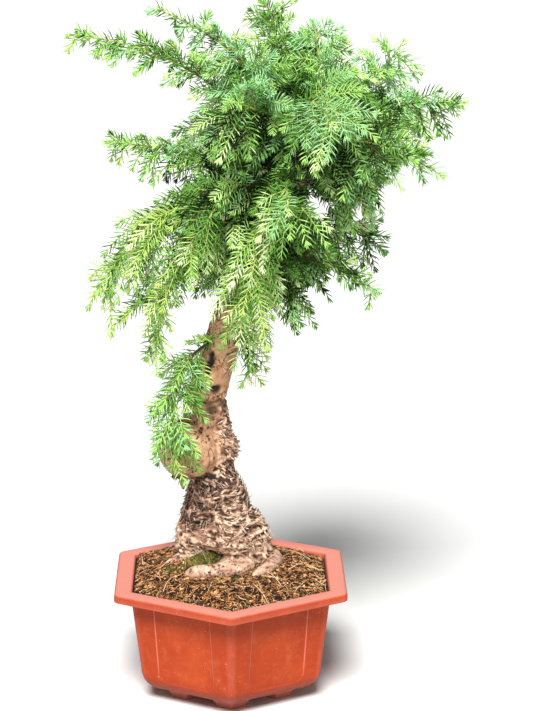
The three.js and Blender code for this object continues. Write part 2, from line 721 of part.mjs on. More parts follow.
function massSolid(name, index, trunkGrown) {
  const line = stemLines[name];
  const stem = solidOf(limb(line, STEM.from, STEM.to, STEM.sides, STEM.steps, STEM.end));
  const whole = fuse([stem, tipBlade(line), ...spraysOf(name, index).map(sprayBlade)]);
  return smoothed(oneBody(boughLines[MASSES[name].on] ? whole : whole.subtract(trunkGrown)));
}

// Colours and the finished plant

const POT_FINISH = { color: 0xd45b30, roughness: 0.5, metalness: 0 };
const SOIL_FINISH = { color: 0x6e4b2d, roughness: 1, metalness: 0 };
const TRUNK_FINISH = { color: 0xa3816b, roughness: 0.9, metalness: 0 };
const BOUGH_FINISH = { color: 0x8a6048, roughness: 0.9, metalness: 0 };
const GREEN_FINISH = { color: 0x6d9a4c, roughness: 0.6, metalness: 0 };
const LIME_FINISH = { color: 0x9cba62, roughness: 0.6, metalness: 0 };
const LIME_MASSES = ['left_low_foliage', 'left_front_foliage', 'trunk_left_foliage', 'upper_left_foliage'];

const plant = new THREE.Group();
plant.name = 'plant';

function place(name, solid, finish) {
  const mesh = new THREE.Mesh(geometryOf(solid), new THREE.MeshStandardMaterial(finish));
  mesh.name = name;
  plant.add(mesh);
}

const trunkGrown = trunkStem(GAP);
place('pot', potSolid(), POT_FINISH);
place('soil', soilSolid(), SOIL_FINISH);
place('trunk', trunkSolid(), TRUNK_FINISH);
const limbsGrown = [trunkGrown];
for (const name of Object.keys(BOUGHS)) {
  place(name, boughSolid(name, limbsGrown), BOUGH_FINISH);
  limbsGrown.push(boughLimb(name, GAP));
}
Object.keys(MASSES).forEach((name, index) => {
  place(name, massSolid(name, index, trunkGrown), LIME_MASSES.includes(name) ? LIME_FINISH : GREEN_FINISH);
});

// The origin lies on the ground under the middle of the plant's own box.
const box = new THREE.Box3().setFromObject(plant, true);
const middle = box.getCenter(new THREE.Vector3());
plant.position.set(-middle.x, -middle.y, 0);

const bonsai = new THREE.Group();
bonsai.name = 'bonsai';
bonsai.add(plant);

export default bonsai;
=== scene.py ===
import math
from types import SimpleNamespace as Sizes

import bpy
import numpy as np
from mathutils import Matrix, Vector


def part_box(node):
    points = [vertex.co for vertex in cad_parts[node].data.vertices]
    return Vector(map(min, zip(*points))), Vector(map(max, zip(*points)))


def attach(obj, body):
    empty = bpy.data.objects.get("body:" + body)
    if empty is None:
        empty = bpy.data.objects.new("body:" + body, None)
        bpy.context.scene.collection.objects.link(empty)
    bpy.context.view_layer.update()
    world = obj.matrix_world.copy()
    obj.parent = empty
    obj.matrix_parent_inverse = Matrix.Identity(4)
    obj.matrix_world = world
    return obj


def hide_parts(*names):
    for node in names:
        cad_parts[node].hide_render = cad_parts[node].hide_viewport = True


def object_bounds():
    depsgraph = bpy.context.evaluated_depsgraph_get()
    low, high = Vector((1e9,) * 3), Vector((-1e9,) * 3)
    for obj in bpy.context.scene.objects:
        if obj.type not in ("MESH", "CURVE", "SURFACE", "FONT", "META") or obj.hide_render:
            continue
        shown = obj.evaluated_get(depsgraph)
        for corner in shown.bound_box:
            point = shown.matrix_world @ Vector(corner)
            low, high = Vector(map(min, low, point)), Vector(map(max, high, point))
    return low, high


# A hoop pine grown as a bonsai in a six-sided plastic pot.
# Sizes are millimetres from the middle of the pot, as in the part's source, and become metres in the part's
# frame when a mesh is made. Limbs and sprays follow the source's seeded rule and are carried on to needles.

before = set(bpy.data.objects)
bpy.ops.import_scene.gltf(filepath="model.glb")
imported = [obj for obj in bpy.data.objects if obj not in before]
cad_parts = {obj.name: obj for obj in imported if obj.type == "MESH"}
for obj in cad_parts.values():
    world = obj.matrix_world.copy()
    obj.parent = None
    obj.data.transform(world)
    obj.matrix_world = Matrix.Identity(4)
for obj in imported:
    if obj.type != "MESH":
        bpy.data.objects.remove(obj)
cad_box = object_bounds()
pot_low, pot_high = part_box("pot")
MIDDLE = np.array([(pot_low.x + pot_high.x) / 2, (pot_low.y + pot_high.y) / 2, 0.0])
UP = np.array([0.0, 0.0, 1.0])
BOX_LOW, BOX_HIGH = ((np.array(corner) - MIDDLE) * 1000 for corner in cad_box)
SEED = 41

# Limbs and foliage, as in the source; each mass of foliage grows on the bough of the same name

GROUND = 185
TRUNK = np.array([  # x, y, z and radius
    (-10, 8, 185, 66), (-12, 8, 215, 66), (-13, 8, 245, 62), (-19, 8, 272, 48), (-20, 8, 297, 41),
    (-23, 7, 322, 32), (-29, 6, 365, 33), (-36, 5, 418, 32), (-29, 4, 460, 29), (-14, 3, 508, 27),
    (-1, 2, 555, 25), (13, 2, 600, 21), (27, 4, 645, 18), (45, 6, 688, 16), (72, 6, 732, 14),
    (94, 4, 778, 11), (106, 2, 820, 8.5), (109, 1, 854, 6),
], float)
FLARE = Sizes(lobes=5, depth=0.1, turn=0.7, top=300, flat=0.4)
BURLS = np.array([(-60, -12, 367, 44), (-20, 2, 362, 30)], float)  # x, y, z and radius
ROOTS = [  # path from the foot of the trunk, radius at both ends
    ([(34, -10), (28, -44), (-12, -58), (-56, -58)], 14, 11),
    ([(48, 24), (74, 4), (68, -36), (40, -66)], 13, 8),
    ([(-44, 10), (-66, -2), (-84, -16)], 14, 7),
    ([(-34, 30), (-58, 52), (-66, 72)], 15, 8),
    ([(22, 36), (38, 60), (40, 80)], 15, 8),
]
BOUGHS = {  # height at which it leaves the trunk, tip, radius at both ends
    "upper_left": (764, (20, -10, 858), 8, 4.5),
    "crown_left": (792, (60, -30, 874), 6, 4),
    "second_left": (802, (50, 8, 892), 6, 4),
    "top_left": (828, (84, -6, 896), 5, 4),
    "top_right": (820, (118, -18, 892), 5, 4),
    "upper_right": (804, (146, 4, 858), 6, 4),
    "right": (782, (160, -6, 840), 7, 4.5),
    "right_low": (716, (150, -24, 786), 8, 4.5),
    "front_upper": (810, (104, -60, 870), 6, 4),
    "front_left": (783, (66, -58, 846), 7, 4.5),
    "front_right": (760, (136, -62, 816), 7, 4.5),
    "front_middle": (736, (76, -62, 772), 7, 4.5),
    "front_low": (718, (44, -50, 758), 7, 4.5),
    "left_mid": (726, (8, -8, 778), 9, 4.5),
    "left_high": (698, (-4, -32, 746), 8, 4.5),
    "left_low": (670, (-8, -16, 726), 10, 5),
    "left_front": (684, (4, -56, 722), 8, 4.5),
    "low_right": (646, (92, -2, 684), 9, 4.5),
    "low_hang": (624, (76, -40, 660), 9, 4.5),
    "low_front": (708, (52, -60, 736), 7, 4.5),
    "low_middle": (604, (52, -46, 640), 8, 4.5),
    "back_top": (812, (100, 58, 870), 6, 4),
    "back_left": (746, (40, 56, 810), 8, 4.5),
    "back_right": (754, (140, 56, 812), 8, 4.5),
    "back_mid": (710, (74, 68, 760), 8, 4.5),
    "back_low": (652, (24, 56, 696), 9, 4.5),
    "back_low_right": (632, (80, 50, 672), 9, 4.5),
}
BOUGH_RISE = 8
MASSES = {  # stem's tip, run ahead, sprays, their length, half width and hang, hue
    "upper_left": ((-224, -30, 961), 0.58, 9, 30, 16, 0.15, "fresh"),
    "crown_left": ((-5, -60, 964), 0.5, 7, 58, 24, 0.3, "cool"),
    "second_left": ((-99, 20, 993), 0.5, 8, 38, 15, 0.4, "cool"),
    "top_left": ((69, 2, 1000), 0.5, 7, 58, 26, 0.15, "fresh"),
    "top_right": ((116, -28, 980), 0.5, 7, 44, 24, 0.2, "cool"),
    "upper_right": ((244, 10, 950), 0.5, 8, 60, 23, 0.5, "cool"),
    "right": ((327, -10, 860), 0.5, 8, 44, 16, 0.4, "shade"),
    "right_low": ((281, -44, 778), 0.5, 7, 40, 20, 0.1, "shade"),
    "front_upper": ((140, -196, 858), 0.5, 7, 84, 30, 0.35, "cool"),
    "front_left": ((-4, -150, 890), 0.5, 7, 82, 30, 0.35, "cool"),
    "front_right": ((214, -160, 826), 0.5, 7, 78, 30, 0.1, "shade"),
    "front_middle": ((78, -190, 742), 0.5, 7, 80, 30, 0.4, "green"),
    "front_low": ((-48, -136, 736), 0.5, 6, 70, 26, 0.4, "green"),
    "left_mid": ((-174, -30, 814), 0.56, 8, 40, 17, 0.4, "fresh"),
    "left_high": ((-140, -96, 640), 0.45, 8, 64, 24, 0.4, "lime"),
    "left_low": ((-180, -46, 600), 0.52, 9, 66, 20, 0.5, "lime"),
    "left_front": ((-107, -92, 518), 0.6, 6, 40, 19, 0.45, "lime"),
    "low_right": ((224, -8, 674), 0.5, 7, 46, 19, 0.25, "shade"),
    "low_hang": ((206, -56, 602), 0.5, 7, 32, 18, 0.2, "shade"),
    "low_front": ((24, -110, 562), 0.5, 7, 70, 28, 0.4, "lime"),
    "low_middle": ((84, -92, 576), 0.5, 5, 36, 18, 0.2, "shade"),
    "low_left": ((-150, -72, 572), 0.55, 7, 50, 19, 0.5, "fresh"),
    "trunk_left": ((-74, -66, 346), 0.65, 7, 42, 18, 0.2, "fresh"),
    "trunk_right": ((28, -50, 474), 0.5, 3, 36, 12, 0.3, "lime"),
    "back_top": ((84, 166, 932), 0.5, 6, 82, 30, 0.25, "cool"),
    "back_left": ((-30, 172, 800), 0.5, 6, 76, 30, 0.35, "fresh"),
    "back_right": ((262, 158, 810), 0.5, 6, 82, 30, 0.35, "green"),
    "back_mid": ((96, 204, 732), 0.5, 6, 82, 30, 0.4, "green"),
    "back_low": ((-54, 150, 610), 0.5, 6, 74, 28, 0.4, "fresh"),
    "back_low_right": ((140, 150, 604), 0.5, 6, 66, 28, 0.3, "green"),
}
ON_TRUNK = {"low_left": 640, "trunk_left": 526, "trunk_right": 548}  # masses without a bough, by height

# Tints of the needles, as display colours, and how each hue deals them out: older needles, then young tips

TINTS = {
    "deep": (12, 30, 5), "dark": (46, 84, 20), "leaf": (112, 166, 70), "bluish": (164, 216, 152),
    "fresh": (172, 220, 118), "lime": (188, 216, 114), "light": (216, 244, 168), "pale": (240, 250, 204),
}
# The hues for shade, for the inside of the crown and for its hollows are darker tints: painted shade
HUES = {
    "cool": ("bluish bluish leaf fresh bluish", "light light fresh bluish"),
    "fresh": ("fresh bluish leaf leaf", "light fresh lime fresh"),
    "green": ("leaf leaf bluish fresh", "fresh light light"),
    "lime": ("lime fresh lime leaf", "lime light pale"),
    "shade": ("dark leaf leaf bluish", "leaf fresh light light"),
    "inner": ("deep deep dark dark", "dark leaf"),
    "hollow_shade": ("dark leaf deep dark", "leaf fresh"),
}
OLDER = dict(
    deep="deep", dark="deep", leaf="dark", bluish="leaf",
    fresh="leaf", lime="leaf", light="fresh", pale="light")
AGED = 0.16  # share of the needles of a shoot that take the older tint


# Small helpers

def unit(v):
    v = np.asarray(v, float)
    return v / np.maximum(np.linalg.norm(v, axis=-1, keepdims=True), 1e-9)


def clamp(x):
    return np.clip(x, 0, 1)


def toward(angle):
    return np.array([math.cos(angle), math.sin(angle)])


def random_way(random):
    return toward(random.uniform(0, 2 * np.pi))


def linear(rgb):
    """A display colour from 0 to 255 as the four numbers that a shader takes."""
    c = np.asarray(rgb, float) / 255
    c = np.where(c <= 0.04045, c / 12.92, ((c + 0.055) / 1.055) ** 2.4)
    return (*map(float, c), 1.0)


def seeded(seed):
    state = (seed * 2654435761) & 0xFFFFFFFF

    def draw():
        nonlocal state
        state = (state * 1664525 + 1013904223) & 0xFFFFFFFF
        return state / 4294967296

    return draw


def hashed(cells, seed):
    n = cells.astype(np.uint64)
    h = n[:, 0] * np.uint64(73856093) ^ n[:, 1] * np.uint64(19349663) ^ n[:, 2] * np.uint64(83492791)
    h = (h + np.uint64(seed * 7919 + 17)) & np.uint64(0xFFFFFFFF)
    for shift, factor in ((16, 0x45D9F3B), (15, 0x2C1B3C6D)):
        h = ((h ^ (h >> np.uint64(shift))) * np.uint64(factor)) & np.uint64(0xFFFFFFFF)
    return ((h ^ (h >> np.uint64(16))) & np.uint64(0xFFFFFF)) / 0x1000000


def noise(points, size, seed, octaves=1):
    """Smooth noise from -1 to 1 whose largest lumps are about one size across."""
    total, weight, sum_of = 0.0, 1.0, 0.0
    for octave in range(octaves):
        at = points / size * 2**octave + 1000
        cell = np.floor(at)
        share = at - cell
        share = share**3 * (share * (share * 6 - 15) + 10)
        value = 0.0
        for corner in range(8):
            step = np.array([corner & 1, corner >> 1 & 1, corner >> 2 & 1])
            part = np.prod(np.where(step, share, 1 - share), axis=1)
            value = value + part * hashed(cell + step, seed + octave)
        total, sum_of, weight = total + weight * (2 * value - 1), sum_of + weight, weight * 0.5
    return total / sum_of


class Bag:
    """Points and faces of many small things, joined into one mesh."""

    def __init__(self):
        self.points, self.faces, self.count = [], [], 0

    def add(self, points, faces):
        self.points.append(np.asarray(points, float))
        self.faces.append(np.asarray(faces, int) + self.count)
        self.count += len(points)

    def shape(self):
        return np.concatenate(self.points), np.concatenate(self.faces)


def shown(name, data):
    made = bpy.data.objects.new(name, data)
    bpy.context.scene.collection.objects.link(made)
    return made


def piece(name, shape, material, replaced=(), attributes=None, smooth=True):
    """A mesh of triangles or of quads, given by its points and faces, that belongs to the plant."""
    mesh = bpy.data.meshes.new(name)
    placed, faces = np.asarray(shape[0]) * 0.001 + MIDDLE, np.asarray(shape[1], np.int32)
    mesh.vertices.add(len(placed))
    mesh.vertices.foreach_set("co", placed.astype(np.float32).ravel())
    mesh.loops.add(faces.size)
    mesh.loops.foreach_set("vertex_index", faces.ravel())
    mesh.polygons.add(len(faces))
    mesh.polygons.foreach_set("loop_start", np.arange(0, faces.size, faces.shape[1], dtype=np.int32))
    for key, values in (attributes or {}).items():
        mesh.attributes.new(key, "FLOAT", "POINT").data.foreach_set("value", np.asarray(values, np.float32))
    mesh.update(calc_edges=True)
    if smooth:
        mesh.shade_smooth()
    mesh.materials.append(material)
    made = shown(name, mesh)
    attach(made, "root")
    if replaced:
        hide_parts(*replaced)
    return made


# Curves, rings and tubes

class Bend:
    """A quadratic curve that is read by its length, as the source reads it."""

    def __init__(self, start, middle, end):
        self.ends = np.array([start, middle, end], float)
        self.t = np.linspace(0, 1, 201)
        steps = np.linalg.norm(np.diff(self.at(self.t), axis=0), axis=1)
        self.run = np.concatenate([[0], np.cumsum(steps)])
        self.length = self.run[-1]

    def at(self, t):
        t = np.atleast_1d(t)[:, None]
        a, b, c = self.ends
        return (1 - t) ** 2 * a + 2 * t * (1 - t) * b + t**2 * c

    def share(self, along):
        return np.interp(np.asarray(along) * self.length, self.run, self.t)

    def place(self, along):
        return self.at(self.share(along))

    def heading(self, along):
        t = np.atleast_1d(self.share(along))[:, None]
        a, b, c = self.ends
        return unit((1 - t) * (b - a) + t * (c - b))

    def spot(self, along):
        return self.place(along)[0], self.heading(along)[0]


def catmull_rom(stations, count):
    """Points along a smooth line through the stations."""
    stations = np.asarray(stations, float)
    p = np.vstack([2 * stations[0] - stations[1], stations, 2 * stations[-1] - stations[-2]])
    at = np.linspace(0, len(stations) - 1, count)
    k = np.minimum(at.astype(int), len(stations) - 2)
    w = (at - k)[:, None]
    a, b, c, d = p[k], p[k + 1], p[k + 2], p[k + 3]
    v0, v1 = (c - a) / 2, (d - b) / 2
    return (2 * b - 2 * c + v0 + v1) * w**3 + (-3 * b + 3 * c - 2 * v0 - v1) * w**2 + v0 * w + b


def round_angles(sides):
    return np.arange(sides) * 2 * np.pi / sides


def ring_quads(rings, sides):
    """Quads between neighbours in a stack of rings."""
    k, i = np.meshgrid(np.arange(rings - 1), np.arange(sides), indexing="ij")
    a, b = (k * sides + i).ravel(), (k * sides + (i + 1) % sides).ravel()
    return np.stack([a, b, b + sides, a + sides], 1)


def stack(points, sides, ends=None, closed=True):
    """Points and triangles of a stack of rings, closed by a fan round the middle of each end."""
    rings = len(points) // sides
    quads = ring_quads(rings, sides)
    faces = [quads[:, [0, 1, 2]], quads[:, [0, 2, 3]]]
    if closed:
        i, last = np.arange(sides), np.full(sides, len(points))
        j, end = (i + 1) % sides, (rings - 1) * sides
        faces += [np.stack([last, j, i], 1), np.stack([last + 1, end + i, end + j], 1)]
        middles = (points[:sides].mean(0), points[end:].mean(0)) if ends is None else ends
        points = np.vstack([points, *middles])
    return points, np.concatenate(faces)


def tube(path, radii, sides, start=UP, closed=True, flat=1.0):
    """Points and triangles of a tapering tube along a path, flattened across the start direction."""
    path, radii = np.asarray(path, float), np.broadcast_to(radii, len(path))
    ahead = unit(np.gradient(path, axis=0))
    rest = start if abs(ahead[0] @ start) < 0.95 else np.array([1.0, 0.0, 0.0])
    across = np.empty_like(path)
    for k, way in enumerate(ahead):
        rest = unit(rest - way * (rest @ way))
        across[k] = rest
    over, angle = np.cross(ahead, across), round_angles(sides)
    ring = across[:, None] * flat * np.cos(angle)[:, None] + over[:, None] * np.sin(angle)[:, None]
    points = (path[:, None] + ring * radii[:, None, None]).reshape(-1, 3)
    return stack(points, sides, path[[0, -1]], closed)


# Growth rule of the crown

CROWN = Sizes(middle=760, height=200, lowest=-0.2, highest=0.8, front=30, turn=0.9)
SPRAY = Sizes(first=0.06, last=0.76, spread=0.95, lift=0.6, taper=0.75, tip_start=0.66)
SPACE = Sizes(own=1.5, limb=3, apart=12, trims=(1, 0.8, 0.62, 0.48))
TRUNK_RISE = 4
GAP = 0.3

trunk_line = catmull_rom(TRUNK, 1601)


def trunk_at(z):
    return [np.interp(z, trunk_line[:, 2], trunk_line[:, k]) for k in (0, 1, 3)]


def on_trunk(z):
    x, y, _ = trunk_at(z)
    return np.array([x, y, z], float)


def bough_bend(leaves, tip, *_):
    start = on_trunk(leaves)
    return Bend(start, (start + np.array(tip)) / 2 + UP * 2 * BOUGH_RISE, tip)


bough_bends = {name: bough_bend(*row) for name, row in BOUGHS.items()}


def stem_bend(name):
    tip, ahead = np.array(MASSES[name][0], float), MASSES[name][1]
    if name in bough_bends:
        start, way = bough_bends[name].spot(1)
    else:
        start = on_trunk(ON_TRUNK[name])
        way = unit((tip[0] - start[0], tip[1] - start[1], TRUNK_RISE))
    start = start + way * GAP
    return Bend(start, start + way * ahead * np.linalg.norm(tip - start), tip)


stem_bends = {name: stem_bend(name) for name in MASSES}
stem_runs = np.array([bend.place(np.linspace(0, 1, 11)) for bend in stem_bends.values()])
bough_runs = np.array([bend.place(np.linspace(0, 1, 9)) for bend in bough_bends.values()])
bough_radii = np.array([row[2] for row in BOUGHS.values()])


def distances(runs, points):
    """Least distance from each polyline to each point."""
    a, b = runs[:, :-1, None], runs[:, 1:, None]
    along = b - a
    share = clamp(((points - a) * along).sum(-1) / (along * along).sum(-1))
    return np.linalg.norm(a + along * share[..., None] - points, axis=-1).min(axis=1)


def facing_at(p):
    """Where the flat side of a spray looks at a place: out of the crown."""
    x, y, _ = trunk_at(p[2])
    rise = np.clip((p[2] - CROWN.middle) / CROWN.height, CROWN.lowest, CROWN.highest)
    turn = CROWN.turn if p[1] > CROWN.front else -CROWN.turn
    return unit(unit((p[0] - x, p[1] - y, 0)) + np.array([0, turn, rise]))


def clear_of_limbs(points, margin):
    x, y, radius = trunk_at(points[:, 2])
    aside = np.hypot(points[:, 0] - x, points[:, 1] - y) > radius + margin
    burls = [np.linalg.norm(points - burl[:3], axis=1) > burl[3] + margin for burl in BURLS]
    boughs = (distances(bough_runs, points) > bough_radii[:, None] + margin).all(0)
    return (aside & np.all(burls, axis=0) & boughs).all()


def in_own_space(index, points):
    near = distances(stem_runs, points)
    others = np.delete(near, index, axis=0).min(axis=0)
    return (others >= near[index] + 2 * SPACE.own).all() and clear_of_limbs(points, SPACE.limb)


class Shoot:
    """A twig with needles: it leaves its root along a heading and bends down, and sideways, as it goes."""

    def __init__(self, root, heading, length, hang, half=0.0, bend=0.0):
        self.root, self.heading, self.length, self.hang, self.half = root, unit(heading), length, hang, half
        self.aside = np.cross(self.heading, facing_at(root)) * bend

    def place(self, share):
        s = np.atleast_1d(share)[:, None]
        return self.root + self.length * (self.heading * s + (self.aside - UP * self.hang) * s * s)

    def ahead(self, share):
        s = np.atleast_1d(share)[:, None]
        return unit(self.heading + 2 * (self.aside - UP * self.hang) * s)

    def side(self, share):
        facing = np.array([facing_at(p) for p in self.place(share)])
        return unit(np.cross(self.ahead(share), facing))


class Stem(Shoot):
    """The stretch of a mass's stem between two shares of its length, with needles of its own."""

    def __init__(self, line, first, last):
        super().__init__(*line.spot(first), line.length * (last - first), 0)
        self.line, self.first, self.last = line, first, last

    def along(self, share):
        return self.first + (self.last - self.first) * np.atleast_1d(share)

    def place(self, share):
        return self.line.place(self.along(share))

    def ahead(self, share):
        return self.line.heading(self.along(share))


def spray_fits(index, spray):
    shares = np.array([0.3, 0.5, 0.75, 1])
    rib = spray.place(shares)
    reach = spray.half * (0.86 + 0.8 * shares - 1.2 * shares**2)
    side = spray.side(shares) * reach[:, None]
    return in_own_space(index, np.concatenate([rib, rib + side, rib - side]))


def sprays_of(name, index):
    """The side sprays of a mass, left and right of its stem by turns, clear of the spray at its tip."""
    _, _, count, size, half, hang, _ = MASSES[name]
    line, random = stem_bends[name], seeded(SEED + index)
    start = SPRAY.tip_start
    tip = Shoot(line.place(start)[0], line.heading(0.9)[0], line.length * (1 - start), 0)
    sprays = []
    for i in range(count):
        along = SPRAY.first + (SPRAY.last - SPRAY.first) * (i + 0.6 * random()) / (count - 0.4)
        root, forward = line.spot(along)
        outward = facing_at(root)
        across = unit(np.cross(forward, outward))
        hand = 1 if i % 2 == 0 else -1
        spread = SPRAY.spread + 0.35 * (random() - 0.5)
        lift = SPRAY.lift * (1.6 * random() - 0.5)
        length = size * (1.3 - SPRAY.taper * along) * (0.85 + 0.3 * random())
        runs = np.array([other.place([0.35, 0.7, 1]) for other in [tip, *sprays]])
        for turn, trim in [(t, s) for t in (hand, -hand) for s in SPACE.trims]:
            way = forward * math.cos(spread) + across * turn * math.sin(spread) + outward * lift - UP * hang
            wide = half * math.sqrt(trim) * (1.15 - 0.4 * along)
            spray = Shoot(root, way, length * trim, hang * trim, wide)
            if distances(runs, spray.place([0.45, 0.7, 1])).min() > SPACE.apart and spray_fits(index, spray):
                sprays.append(spray)
                break
    return sprays


# Shoots: every spray of the source becomes a fan of shoots, and finer ones grow between them

# Each kind has a share with young tips, a looseness of its needles and a least distance from the limbs
FAN = Sizes(leave=(0.1, 0.5), turn=(0.4, 0.75), lift=(-0.3, 0.35), reach=(0.5, 0.85), apex=8, each=620,
            most=4, main_young=0.6, young=0.45, brush=0.15, margin=2)
STEM = Sizes(first=0.04, run=0.9, last=0.98, unit=230)  # where it bears shoots, and its length for each lot
ROUND_STEM = dict(spread=(0.5, 1.1), young=0.4, brush=0.25, margin=3)
OUTER = Sizes(each=12, around=(0, 1.1), reach=(0.95, 1.4), **ROUND_STEM)
UNDER = Sizes(each=16, around=(1.1, 2.0), reach=(0.8, 1.2), **ROUND_STEM)
DOWN = Sizes(along=(0, 0.32), out=(-0.1, 0.4), ahead=(-0.2, 0.15), length=(60, 92), hang=0.1,
             bend=(-0.2, 0.2), young=0.4, brush=0.2, margin=3)
BESIDE = Sizes(first=0.25, run=0.6, across=(0.5, 1.1), ahead=(-0.5, 0.1), drop=0.8, length=(34, 52), hang=0.2,
               young=0.6, brush=0.1, margin=3)
LONG = Sizes(on_bough=9, along=(0.4, 1), length=(70, 112), spread=(0.2, 1.0), hang=(0.3, 0.6),
             young=0.4, brush=0.15, margin=3)
INNER = Sizes(on_bough=14, along=(0.3, 1), on_trunk=80, low=612, high=846, dark=825, length=(48, 82),
              spread=(0.5, 1.3), hang=(0.1, 0.5), young=0.3, brush=0.5, margin=2)
SPARSE = ("trunk_left", "trunk_right", "low_hang", "low_right", "second_left", "low_left")
LIFTED = {"right": 0.4, "left_mid": 0.7}  # from where on along the stem the outer shoots rise
HANGING = {  # shaded shoots that hang straight from the first part of a stem
    "right_low": 16, "right": 8, "back_right": 14, "back_left": 14, "back_top": 10, "back_mid": 10}
ASIDE = {"trunk_left": (9, 7)}  # shoots that hang out to the left and right of a stem
# the dark tints below the larger masses are painted shade under them
LARGE = 55  # masses with longer sprays than this are dark below
TRIMS = (1, 0.75, 0.55)
SIGHT = np.array([0.01, 0.97, -0.24])  # the way in which the crown's gaps and hollows are seen
GAPS = np.array([  # openings to the sky: x, z and radius
    (120, 717, 11), (-59, 551, 23), (-76, 514, 13), (-40, 572, 13), (150, 600, 13), (-172, 732, 41),
    (227, 721, 17),
], float)
RECESSES = np.array([  # shaded hollows: x, z and half sizes
    (16, 805, 39, 25), (83, 772, 35, 39), (153, 772, 21, 24), (-37, 707, 31, 25), (82, 659, 42, 28),
], float)
REACH = np.linspace(0.1, 1.12, 9)
OVER = 6
shoots = []


def seen(points):
    """Where points appear from the front: across and up, on the plane through the middle of the pot."""
    ahead = points[:, 1] / SIGHT[1]
    return (points - ahead[:, None] * SIGHT)[:, [0, 2]]


def within(points, ovals):
    """Whether any of the points lies in one of the ovals, seen from the front."""
    away = (seen(points)[:, None] - ovals[:, :2]) / ovals[:, 2:]
    return (np.linalg.norm(away, axis=2) < 1).any()


def add_shoot(shoot, hue, brush, young):
    """Keeps a shoot; two in three of those that end in one of the crown's hollows have dark needles, painted
    shade in the hollow.
    """
    if len(shoots) % 3 and within(shoot.place([0.7]), RECESSES):
        hue, young = "hollow_shade", len(shoots) % 2 == 0
    shoots.append((shoot, hue, brush, young))


def fits(shoot, margin):
    """Whether a shoot keeps off the limbs, out of the gaps and within the reach of the source's crown."""
    tip = shoot.place(1)[0]
    inside = (tip > BOX_LOW - OVER).all() and (tip < BOX_HIGH + OVER).all()
    clear = inside and clear_of_limbs(shoot.place([0.4, 0.7, 1]), margin)
    return clear and not within(shoot.place(REACH), GAPS)


def settle(tries, hue, kind, random):
    """Keeps the first of some shoots of a kind that fits."""
    for shoot in tries:
        if fits(shoot, kind.margin):
            add_shoot(shoot, hue, kind.brush, random.random() < kind.young)
            return


def fan_of(spray, hue, random):
    """The main shoot along a spray's rib and the side shoots that fill its width."""
    main = Shoot(spray.root, spray.heading, spray.length + FAN.apex, spray.hang)
    if within(main.place(REACH), GAPS):
        return
    add_shoot(main, hue, FAN.brush, random.random() < FAN.main_young)
    count = int(round(np.clip(spray.length * spray.half / FAN.each, 1, FAN.most)))
    for k in range(count):
        leave = FAN.leave[0] + (FAN.leave[1] - FAN.leave[0]) * (k + random.random()) / count
        hand = 1 if k % 2 == 0 else -1
        turn = random.uniform(*FAN.turn)
        root, ahead, side = spray.place(leave)[0], spray.ahead(leave)[0], spray.side(leave)[0]
        lift = facing_at(root) * random.uniform(*FAN.lift)
        way = ahead * math.cos(turn) + side * hand * math.sin(turn) + lift
        length = spray.length * (1 - 0.6 * leave) * random.uniform(*FAN.reach)
        length = min(length, spray.half / math.sin(turn) * 1.15) + FAN.apex
        shoot = Shoot(root, way, length, spray.hang * 0.8, bend=-0.12 * hand)
        settle([shoot], hue, FAN, random)


def grow(name, index):
    """Every shoot of one mass: the fans of its sprays, finer ones round its stem, and the stem itself."""
    _, _, _, size, _, hang, hue = MASSES[name]
    random = np.random.default_rng(SEED * 100 + index)
    line = stem_bends[name]
    for spray in sprays_of(name, index):
        fan_of(spray, hue, random)
    dense = 0.5 if name in SPARSE else 1
    # shoots under the inner half of a stem take a darker hue: painted shade under the mass
    for kind, own in ((OUTER, hue), (UNDER, "hollow_shade" if size > LARGE else "shade")):
        count = int(kind.each * dense * line.length / STEM.unit)
        for k in range(count):
            along = STEM.first + STEM.run * (k + random.random()) / count
            root, forward = line.spot(along)
            outward = facing_at(root)
            across = unit(np.cross(forward, outward)) * random.choice((-1, 1))
            around, spread = random.uniform(*kind.around) * np.pi / 2, random.uniform(*kind.spread)
            out = across * math.sin(around) + outward * math.cos(around)
            way = forward * math.cos(spread) + out * math.sin(spread) - UP * hang * 0.8
            if hue == "lime" or hang >= 0.45:
                way[2] = min(way[2], (0.15 if hue == "lime" else 0.3) - 0.9 * hang)
            droop = hang
            if kind is OUTER and along > LIFTED.get(name, 1):
                way[2], droop = max(way[2], 0.35), 0.1
            length = size * (1.2 - 0.7 * along) * random.uniform(*kind.reach)
            tries = (Shoot(root, way, length * t, droop * t, bend=random.uniform(-0.1, 0.1)) for t in TRIMS)
            settle(tries, own if along < 0.5 else hue, kind, random)
    for along in random.uniform(*DOWN.along, HANGING.get(name, 0)):
        root, forward = line.spot(along)
        way = facing_at(root) * random.uniform(*DOWN.out) + forward * random.uniform(*DOWN.ahead) - UP
        shoot = Shoot(root, way, random.uniform(*DOWN.length), DOWN.hang, bend=random.uniform(*DOWN.bend))
        settle([shoot], "shade", DOWN, random)
    for hand, count in zip((-1, 1), ASIDE.get(name, ())):
        for along in BESIDE.first + BESIDE.run * (np.arange(count) + random.random(count)) / count:
            root = line.place(along)[0]
            way = (hand * random.uniform(*BESIDE.across), random.uniform(*BESIDE.ahead), -BESIDE.drop)
            tries = (Shoot(root, way, random.uniform(*BESIDE.length) * t, BESIDE.hang) for t in TRIMS)
            settle(tries, hue, BESIDE, random)
    add_shoot(Stem(line, SPRAY.tip_start, STEM.last), hue, 0.8, True)
    add_shoot(Stem(line, STEM.first, SPRAY.tip_start), "shade", 0.75 if name in ASIDE else 1, False)


def turned(forward, spread, random):
    """A direction that leaves another one by an angle within a range, on any side."""
    spread, around = random.uniform(*spread), random.uniform(0, 2 * np.pi)
    across = unit(np.cross(forward, UP))
    out = across * math.cos(around) + np.cross(across, forward) * math.sin(around)
    return forward * math.cos(spread) + out * math.sin(spread)


